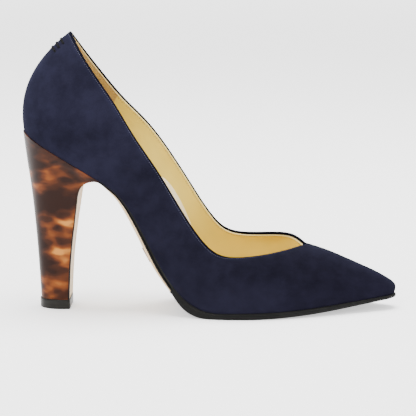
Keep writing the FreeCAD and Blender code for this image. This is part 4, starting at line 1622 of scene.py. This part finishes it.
@dataclass
class RubberSole:
    """The thin rubber forefoot sole with its projecting edge.

    Attributes:
        back: The station of its back edge.
        overhang: How far its edge stands past the feather edge.
        lag: How far the back edge slants back from its top to its underside.
        lag_fade: How fast that slant dies away, in stations.
        tip: The x where the feather profile is held level for the toe's overhang.
        underside: The height of its underside by x.
        edge: Its edge from the top face down: the share of the overhang and of the thickness.
    """

    back: float = 0.508
    overhang: float = 1.0
    lag: float = 1.3
    lag_fade: float = 0.03
    tip: float = 104.8
    underside: Track = field(default_factory=lambda: Track([
        (-19.8, 13.3), (-15.5, 7.3), (-9.5, 2.4), (-3.5, 0.4), (2.0, 0.0), (12.0, 0.0), (22.0, 0.0),
        (41.0, 0.55), (60.0, 1.7), (80.0, 3.7), (95.0, 5.4), (106.0, 6.6)]))
    edge: Rows = (
        (0.05, 0.0), (0.55, 0.0), (0.9, 0.1), (1.0, 0.24), (0.86, 0.30), (0.86, 0.36), (1.0, 0.44),
        (1.02, 0.6), (0.97, 0.78), (0.78, 0.93), (0.4, 1.0))

    def point(self, station: float, spread: float, dip: float, across: float | None) -> Vector:
        """Return a point of the sole.

        Args:
            station: The station along the feather edge.
            spread: The share of the overhang, signed by side.
            dip: 0 at the top face and 1 at the underside.
            across: The share of the way across, or None for a point of the edge.

        Returns:
            The point in millimetres.
        """
        lateral, out_l = LAST.foot(Side.LATERAL, station)
        medial, out_m = LAST.foot(Side.MEDIAL, station)
        grown = self.overhang * abs(spread) * (0.1 + 0.9 * smooth(station, 0.505, 0.56))
        left, right = lateral + out_l * grown, medial + out_m * grown
        share = (0.0 if spread < 0 else 1.0) if across is None else across
        base = left.lerp(right, share)
        top = LAST.seat(min(base.x, self.tip)) - 0.05
        x = base.x - self.lag * math.exp((self.back - station) / self.lag_fade) * dip
        low = max(self.underside.at(x)[0], 0.0)
        return Vector((x, base.y, top + (low - top) * dip))

    def build(self, palette: Palette) -> None:
        """Build the sole.

        Args:
            palette: The finishes.
        """
        stations = steps(self.back, 0.93, 110) + steps(0.935, 0.985, 12)
        stations += [0.9885, 0.9915, 0.994, 0.996, 0.9978, 0.999, 1.0]
        ring: list = [(-spread, dip, None) for spread, dip in self.edge]
        ring += [(0.3, 1.0, share) for share in steps(0.03, 0.97, 14)]
        ring += [(spread, dip, None) for spread, dip in reversed(self.edge)]
        ring += [(0.0, 0.0, share) for share in steps(0.97, 0.03, 6)]
        ring.append(ring[0])
        mesh, table = mapped_grid(len(stations), len(ring), lambda c, r: self.point(stations[c], *ring[r]))
        bmesh.ops.contextual_create(mesh, geom=table[0][:-1])
        weld(mesh)
        finish_piece("forefoot_sole", mesh, [palette.rubber], ["forefoot_rubber_sole"],
                     crease=50.0)


@dataclass
class Heel:
    """The tortoiseshell heel cover, the top piece and the plate under the waist.

    Attributes:
        foot: The height of the cover's foot over the floor.
        lip: How far the cover's top stands past the feather edge.
        wall: The cover's thickness.
        outline: The foot's outline, x and y, by the turn from breast corner to breast corner.
        stations: The station over a turn's seat.
        corner: By climb, the shares of the x, y and z travel from foot to seat at the breast corner.
        back: The same shares at the back.
        tread_front: The x of the top piece's front.
        tread_centre: The x of its middle.
        tread_grow: How far the top piece stands past the cover.
        rim_round: The rounding of its rims.
        plate_x: The place of the waist's plate along the shoe.
        plate_depth: The depth of its middle under the feather profile.
        plate_size: Its length, width and thickness.
        plate_border: The width of its raised border, and the width and depth of the step inside it.
        plate_round: The rounding of its edges.
    """

    foot: float = 5.3
    lip: float = 0.5
    wall: float = 1.2
    outline: Track = field(default_factory=lambda: Track([
        (-1.0, -78.3, -10.0), (-0.62, -86.4, -9.6), (-0.30, -92.1, -5.95), (0.0, -94.2, 0.0),
        (0.30, -92.1, 5.95), (0.62, -86.4, 9.6), (1.0, -78.3, 10.0)]))
    stations: Track = field(default_factory=lambda: Track([
        (0.0, 0.0), (0.235, 0.05), (0.54, 0.13), (0.82, 0.20), (1.0, 0.2525)]))
    corner: Track = field(default_factory=lambda: Track([
        (0.0, 0.0, 0.0, 0.0), (0.32, 0.077, 0.10, 0.355), (0.49, 0.158, 0.19, 0.543),
        (0.742, 0.306, 0.464, 0.823), (0.80, 0.35, 0.565, 0.89), (0.871, 0.485, 0.715, 0.955),
        (0.907, 0.62, 0.80, 0.98), (0.948, 0.78, 0.914, 0.996), (1.0, 1.0, 1.0, 1.0)]))
    back: Track = field(default_factory=lambda: Track([
        (0.0, 0.0, 0.0, 0.0), (0.261, 0.157, 0.085, 0.261), (0.494, 0.348, 0.25, 0.494),
        (0.684, 0.562, 0.50, 0.684), (0.81, 0.75, 0.72, 0.81), (0.92, 0.90, 0.89, 0.92),
        (1.0, 1.0, 1.0, 1.0)]))
    tread_front: float = -77.2
    tread_centre: float = -86.0
    tread_grow: float = 0.55
    rim_round: float = 0.32
    plate_x: float = -29.5
    plate_depth: float = 4.75
    plate_size: tuple[float, float, float] = (9.0, 24.0, 1.4)
    plate_border: tuple[float, float, float] = (0.5, 0.12, 0.12)
    plate_round: float = 0.2

    def point(self, turn: float, climb: float, inset: float) -> Vector:
        """Return a point of the cover.

        Args:
            turn: -1 at the lateral breast corner, 0 at the back, 1 at the medial breast corner.
            climb: 0 at the foot and 1 at the seat.
            inset: The distance inside the outer face.

        Returns:
            The point in millimetres.
        """
        side = Side.LATERAL if turn < 0 else Side.MEDIAL
        x, y = self.outline.at(turn)
        ahead, behind = self.outline.at(min(turn + 0.01, 1.0)), self.outline.at(max(turn - 0.01, -1.0))
        out = Vector((-(ahead[1] - behind[1]), ahead[0] - behind[0], 0.0)).normalized()
        foot = Vector((x, y, self.foot)) - out * inset
        seat, level = LAST.foot(side, self.stations.at(abs(turn))[0])
        seat = seat + level * (self.lip - inset)
        weight = smooth(abs(turn), 0.0, 1.0) ** 1.6
        shares = [b + (c - b) * weight for b, c in zip(self.back.at(climb), self.corner.at(climb))]
        span = seat - foot
        return foot + Vector((span.x * shares[0], span.y * shares[1], span.z * shares[2]))

    def cover(self) -> bmesh.types.BMesh:
        """Return the cover: outer face, lip and inner face in one closed ring.

        Returns:
            The mesh in metres.
        """
        turns = steps(-1.0, 1.0, 96)
        climbs = steps(0.0, 0.86, 30) + steps(0.865, 0.985, 22) + [0.99, 0.994, 0.997, 1.0]
        ring = [(climb, 0.0, 0.0) for climb in climbs]
        ring += [(1.0, 0.06, 0.10), (1.0, 0.2, 0.16), (1.0, 1.0, 0.2), (1.0, self.wall, 0.2)]
        ring += [(climb, self.wall, 0.0) for climb in reversed(climbs)]
        ring.append(ring[0])

        def place(column: int, row: int) -> Vector:
            """Return the place of one corner."""
            climb, inset, lift = ring[row]
            return self.point(turns[column], climb, inset) + Vector((0.0, 0.0, lift))

        mesh, table = mapped_grid(len(turns), len(ring), place)
        for line in (table[0], table[-1]):
            outer = edge_chain(line[:len(climbs)])
            inner = edge_chain(line[len(climbs) + 4:-1])
            bmesh.ops.bridge_loops(mesh, edges=outer + inner)
            bmesh.ops.contextual_create(mesh, geom=line[len(climbs) - 1:len(climbs) + 5])
        weld(mesh)
        return mesh

    def top_piece(self) -> bmesh.types.BMesh:
        """Return the top piece: a D with rounded rims.

        Returns:
            The mesh in metres.
        """
        mesh = bmesh.new()
        rim = []
        for turn in steps(-1.0, 1.0, 44):
            x, y = self.outline.at(turn)
            arm = Vector((x - self.tread_centre, y))
            arm *= 1.0 + self.tread_grow / max(arm.length, 1.0)
            front = self.tread_front
            if abs(turn) < 1.0:
                front = min(arm.x + self.tread_centre, front)
            rim.append(mesh.verts.new(Vector((front, arm.y, 0.0)) * MM))
        made = bmesh.ops.contextual_create(mesh, geom=rim)
        grown = bmesh.ops.extrude_face_region(mesh, geom=made["faces"], use_keep_orig=True)
        tops = [item for item in grown["geom"] if isinstance(item, bmesh.types.BMVert)]
        bmesh.ops.translate(mesh, verts=tops, vec=(0.0, 0.0, (self.foot - 0.05) * MM))
        bmesh.ops.recalc_face_normals(mesh, faces=mesh.faces)
        sharp = [edge for edge in mesh.edges if edge.calc_face_angle(0.0) > math.radians(35.0)]
        bmesh.ops.bevel(mesh, geom=sharp, offset=self.rim_round * MM, segments=3, profile=0.5,
                        affect="EDGES", material=-1)
        return mesh

    def plaque(self) -> bmesh.types.BMesh:
        """Return the blank plate: bevelled, with a sunken field inside a border.

        Returns:
            The mesh in metres.
        """
        mesh = bmesh.new()
        normal = LAST.seat_normal(self.plate_x)
        along = Vector((normal.z, 0.0, -normal.x))
        side = normal.cross(along)
        turn = Matrix((along, side, normal)).transposed().to_4x4()
        middle = Vector((self.plate_x, 0.0, LAST.seat(self.plate_x))) - normal * self.plate_depth
        size = Matrix.Diagonal((*(Vector(self.plate_size) * MM), 1.0))
        bmesh.ops.create_cube(mesh, size=1.0, matrix=Matrix.Translation(middle * MM) @ turn @ size)
        bmesh.ops.bevel(mesh, geom=list(mesh.edges), offset=self.plate_round * MM, segments=2,
                        profile=0.5, affect="EDGES", material=-1)
        face = min(mesh.faces, key=lambda f: f.normal.dot(normal) * f.calc_area())
        border, width, depth = (value * MM for value in self.plate_border)
        bmesh.ops.inset_individual(mesh, faces=[face], thickness=border, depth=0.0)
        bmesh.ops.inset_individual(mesh, faces=[face], thickness=width, depth=-depth)
        return mesh

    def build(self, palette: Palette) -> None:
        """Build the heel's pieces.

        Args:
            palette: The finishes.
        """
        finish_piece("heel_cover", self.cover(), [palette.tortoise], ["heel_cover"],
                     crease=50.0)
        finish_piece("top_piece", self.top_piece(), [palette.tip], ["top_piece"],
                     crease=30.0)
        finish_piece("plaque", self.plaque(), [palette.brass], ["waist_plaque"],
                     crease=30.0)


class Carried:
    """The inner CAD nodes that stay, with their finishes."""

    @staticmethod
    def dress(palette: Palette) -> None:
        """Give every carried node a procedural material.

        Args:
            palette: The finishes.
        """
        finishes = {
            palette.board: ("heel_counter", "toe_puff", "shank_board", "insole_board"),
            palette.cloth: ("quarter_backer_lateral", "quarter_backer_medial", "vamp_backer",
                            "topline_tape"),
            palette.foam: ("bottom_filler",),
            palette.steel: ("steel_shank", "shank_rivets", "top_piece_dowels", "heel_screw",
                            "heel_nails"),
            palette.plastic: ("heel_core",),
        }
        for material, names in finishes.items():
            for name in names:
                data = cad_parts[name].data
                data.materials.clear()
                data.materials.append(material)


@dataclass(frozen=True)
class Softbox:
    """A square area light that looks at the shoe.

    Attributes:
        name: The light's name.
        place: Its place in metres.
        size: Its side in metres.
        power: Its power in watts.
    """

    name: str
    place: tuple[float, float, float]
    size: float
    power: float

    def build(self) -> None:
        """Build the light."""
        data = bpy.data.lights.new(self.name, "AREA")
        data.shape = "SQUARE"
        data.size = self.size
        data.energy = self.power
        lamp = bpy.data.objects.new(self.name, data)
        bpy.context.scene.collection.objects.link(lamp)
        lamp.location = self.place
        lamp.rotation_mode = "QUATERNION"
        lamp.rotation_quaternion = (Vector((0.0, 0.0, 0.06)) - Vector(self.place)).to_track_quat("-Z", "Y")


@dataclass(frozen=True)
class FloorFinish(Finish):
    """A pale floor that glows a little more with the distance behind the shoe.

    Attributes:
        glow: The strength of the glow far behind the shoe.
        near_glow: The share of it next to the shoe.
        reach: The distances, in metres, between which it grows.
    """

    glow: float = 2.0
    near_glow: float = 0.38
    reach: tuple[float, float] = (0.1, 3.0)

    def build(self) -> bpy.types.Material:
        """Return the floor's material.

        Returns:
            The material.
        """
        material = super().build()
        shader = material.node_tree.nodes["Principled BSDF"]
        nodes = Nodes(material.node_tree)
        place = nodes.add("ShaderNodeTexCoord").outputs["Object"]
        away = nodes.range(nodes.axis(place, "Y"), *self.reach)
        near = rgb(self.near_glow, self.near_glow, self.near_glow)
        glow = nodes.ramp(away, [(0.0, near), (1.0, rgb(1.0, 1.0, 1.0))], "LINEAR")
        nodes.tree.links.new(glow, shader.inputs["Emission Color"])
        shader.inputs["Emission Strength"].default_value = self.glow
        return material


@dataclass
class Stage:
    """The floor, the lights and the camera.

    Attributes:
        distance: The camera's distance from the point that it looks at.
        azimuth: Its angle round the shoe, in degrees.
        elevation: Its angle up, in degrees.
        aim: The point that it looks at.
        lens: Its focal length on a 36 mm sensor.
        world: The strength of the light from all round.
        floor_half: Half the floor's side, in metres.
        softboxes: The lights.
    """

    distance: float = 1100.0
    azimuth: float = 1.5
    elevation: float = 9.5
    aim: tuple[float, float, float] = (0.0, 0.0, 56.2)
    lens: float = 169.8
    world: float = 1.25
    floor_half: float = 6.0
    softboxes: Sequence[Softbox] = (
        Softbox("top_softbox", (0.0, 0.15, 1.3), 0.9, 42.0),
        Softbox("front_softbox", (-0.6, -1.4, 0.9), 0.9, 15.0),
        Softbox("right_softbox", (1.4, -0.5, 0.6), 0.8, 8.0))

    def floor(self) -> None:
        """Build the pale floor."""
        mesh = bmesh.new()
        bmesh.ops.create_grid(mesh, x_segments=2, y_segments=2, size=self.floor_half)
        data = bpy.data.meshes.new("floor")
        mesh.to_mesh(data)
        mesh.free()
        floor = bpy.data.objects.new("floor", data)
        bpy.context.scene.collection.objects.link(floor)
        data.materials.append(FloorFinish("pale_floor", rgb(0.90, 0.90, 0.90), rgb(0.91, 0.91, 0.91), 0.9,
                                          scale=2.0, cells=60.0, relief=0.0, specular=0.1).build())

    def surround(self) -> None:
        """Build the white light from all round."""
        world = bpy.data.worlds.new("studio")
        bpy.context.scene.world = world
        world.use_nodes = True
        background = world.node_tree.nodes["Background"]
        background.inputs["Color"].default_value = rgb(1.0, 1.0, 1.0)
        background.inputs["Strength"].default_value = self.world

    def camera(self) -> None:
        """Build the scene's camera."""
        data = bpy.data.cameras.new("camera")
        data.lens = self.lens
        data.sensor_width = 36.0
        data.clip_start, data.clip_end = 0.05, 50.0
        camera = bpy.data.objects.new("camera", data)
        bpy.context.scene.collection.objects.link(camera)
        turn, lift = math.radians(self.azimuth), math.radians(self.elevation)
        back = Vector((math.sin(turn) * math.cos(lift), -math.cos(turn) * math.cos(lift),
                       math.sin(lift)))
        camera.location = (Vector(self.aim) + back * self.distance) * MM
        camera.rotation_mode = "QUATERNION"
        camera.rotation_quaternion = (-back).to_track_quat("-Z", "Y")
        bpy.context.scene.camera = camera

    def build(self) -> None:
        """Build the stage."""
        self.floor()
        self.surround()
        for softbox in self.softboxes:
            softbox.build()
        self.camera()


def main() -> None:
    """Build the shoe and its stage."""
    logging.basicConfig(level=logging.INFO, format="%(message)s")
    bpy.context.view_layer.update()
    palette = Palette()
    for assembly in (Upper(), Linings(), Fittings(), InnerSole(), Outsole(), RubberSole(), Heel()):
        assembly.build(palette)
    Carried.dress(palette)
    Stage().build()


if __name__ == "__main__":
    main()
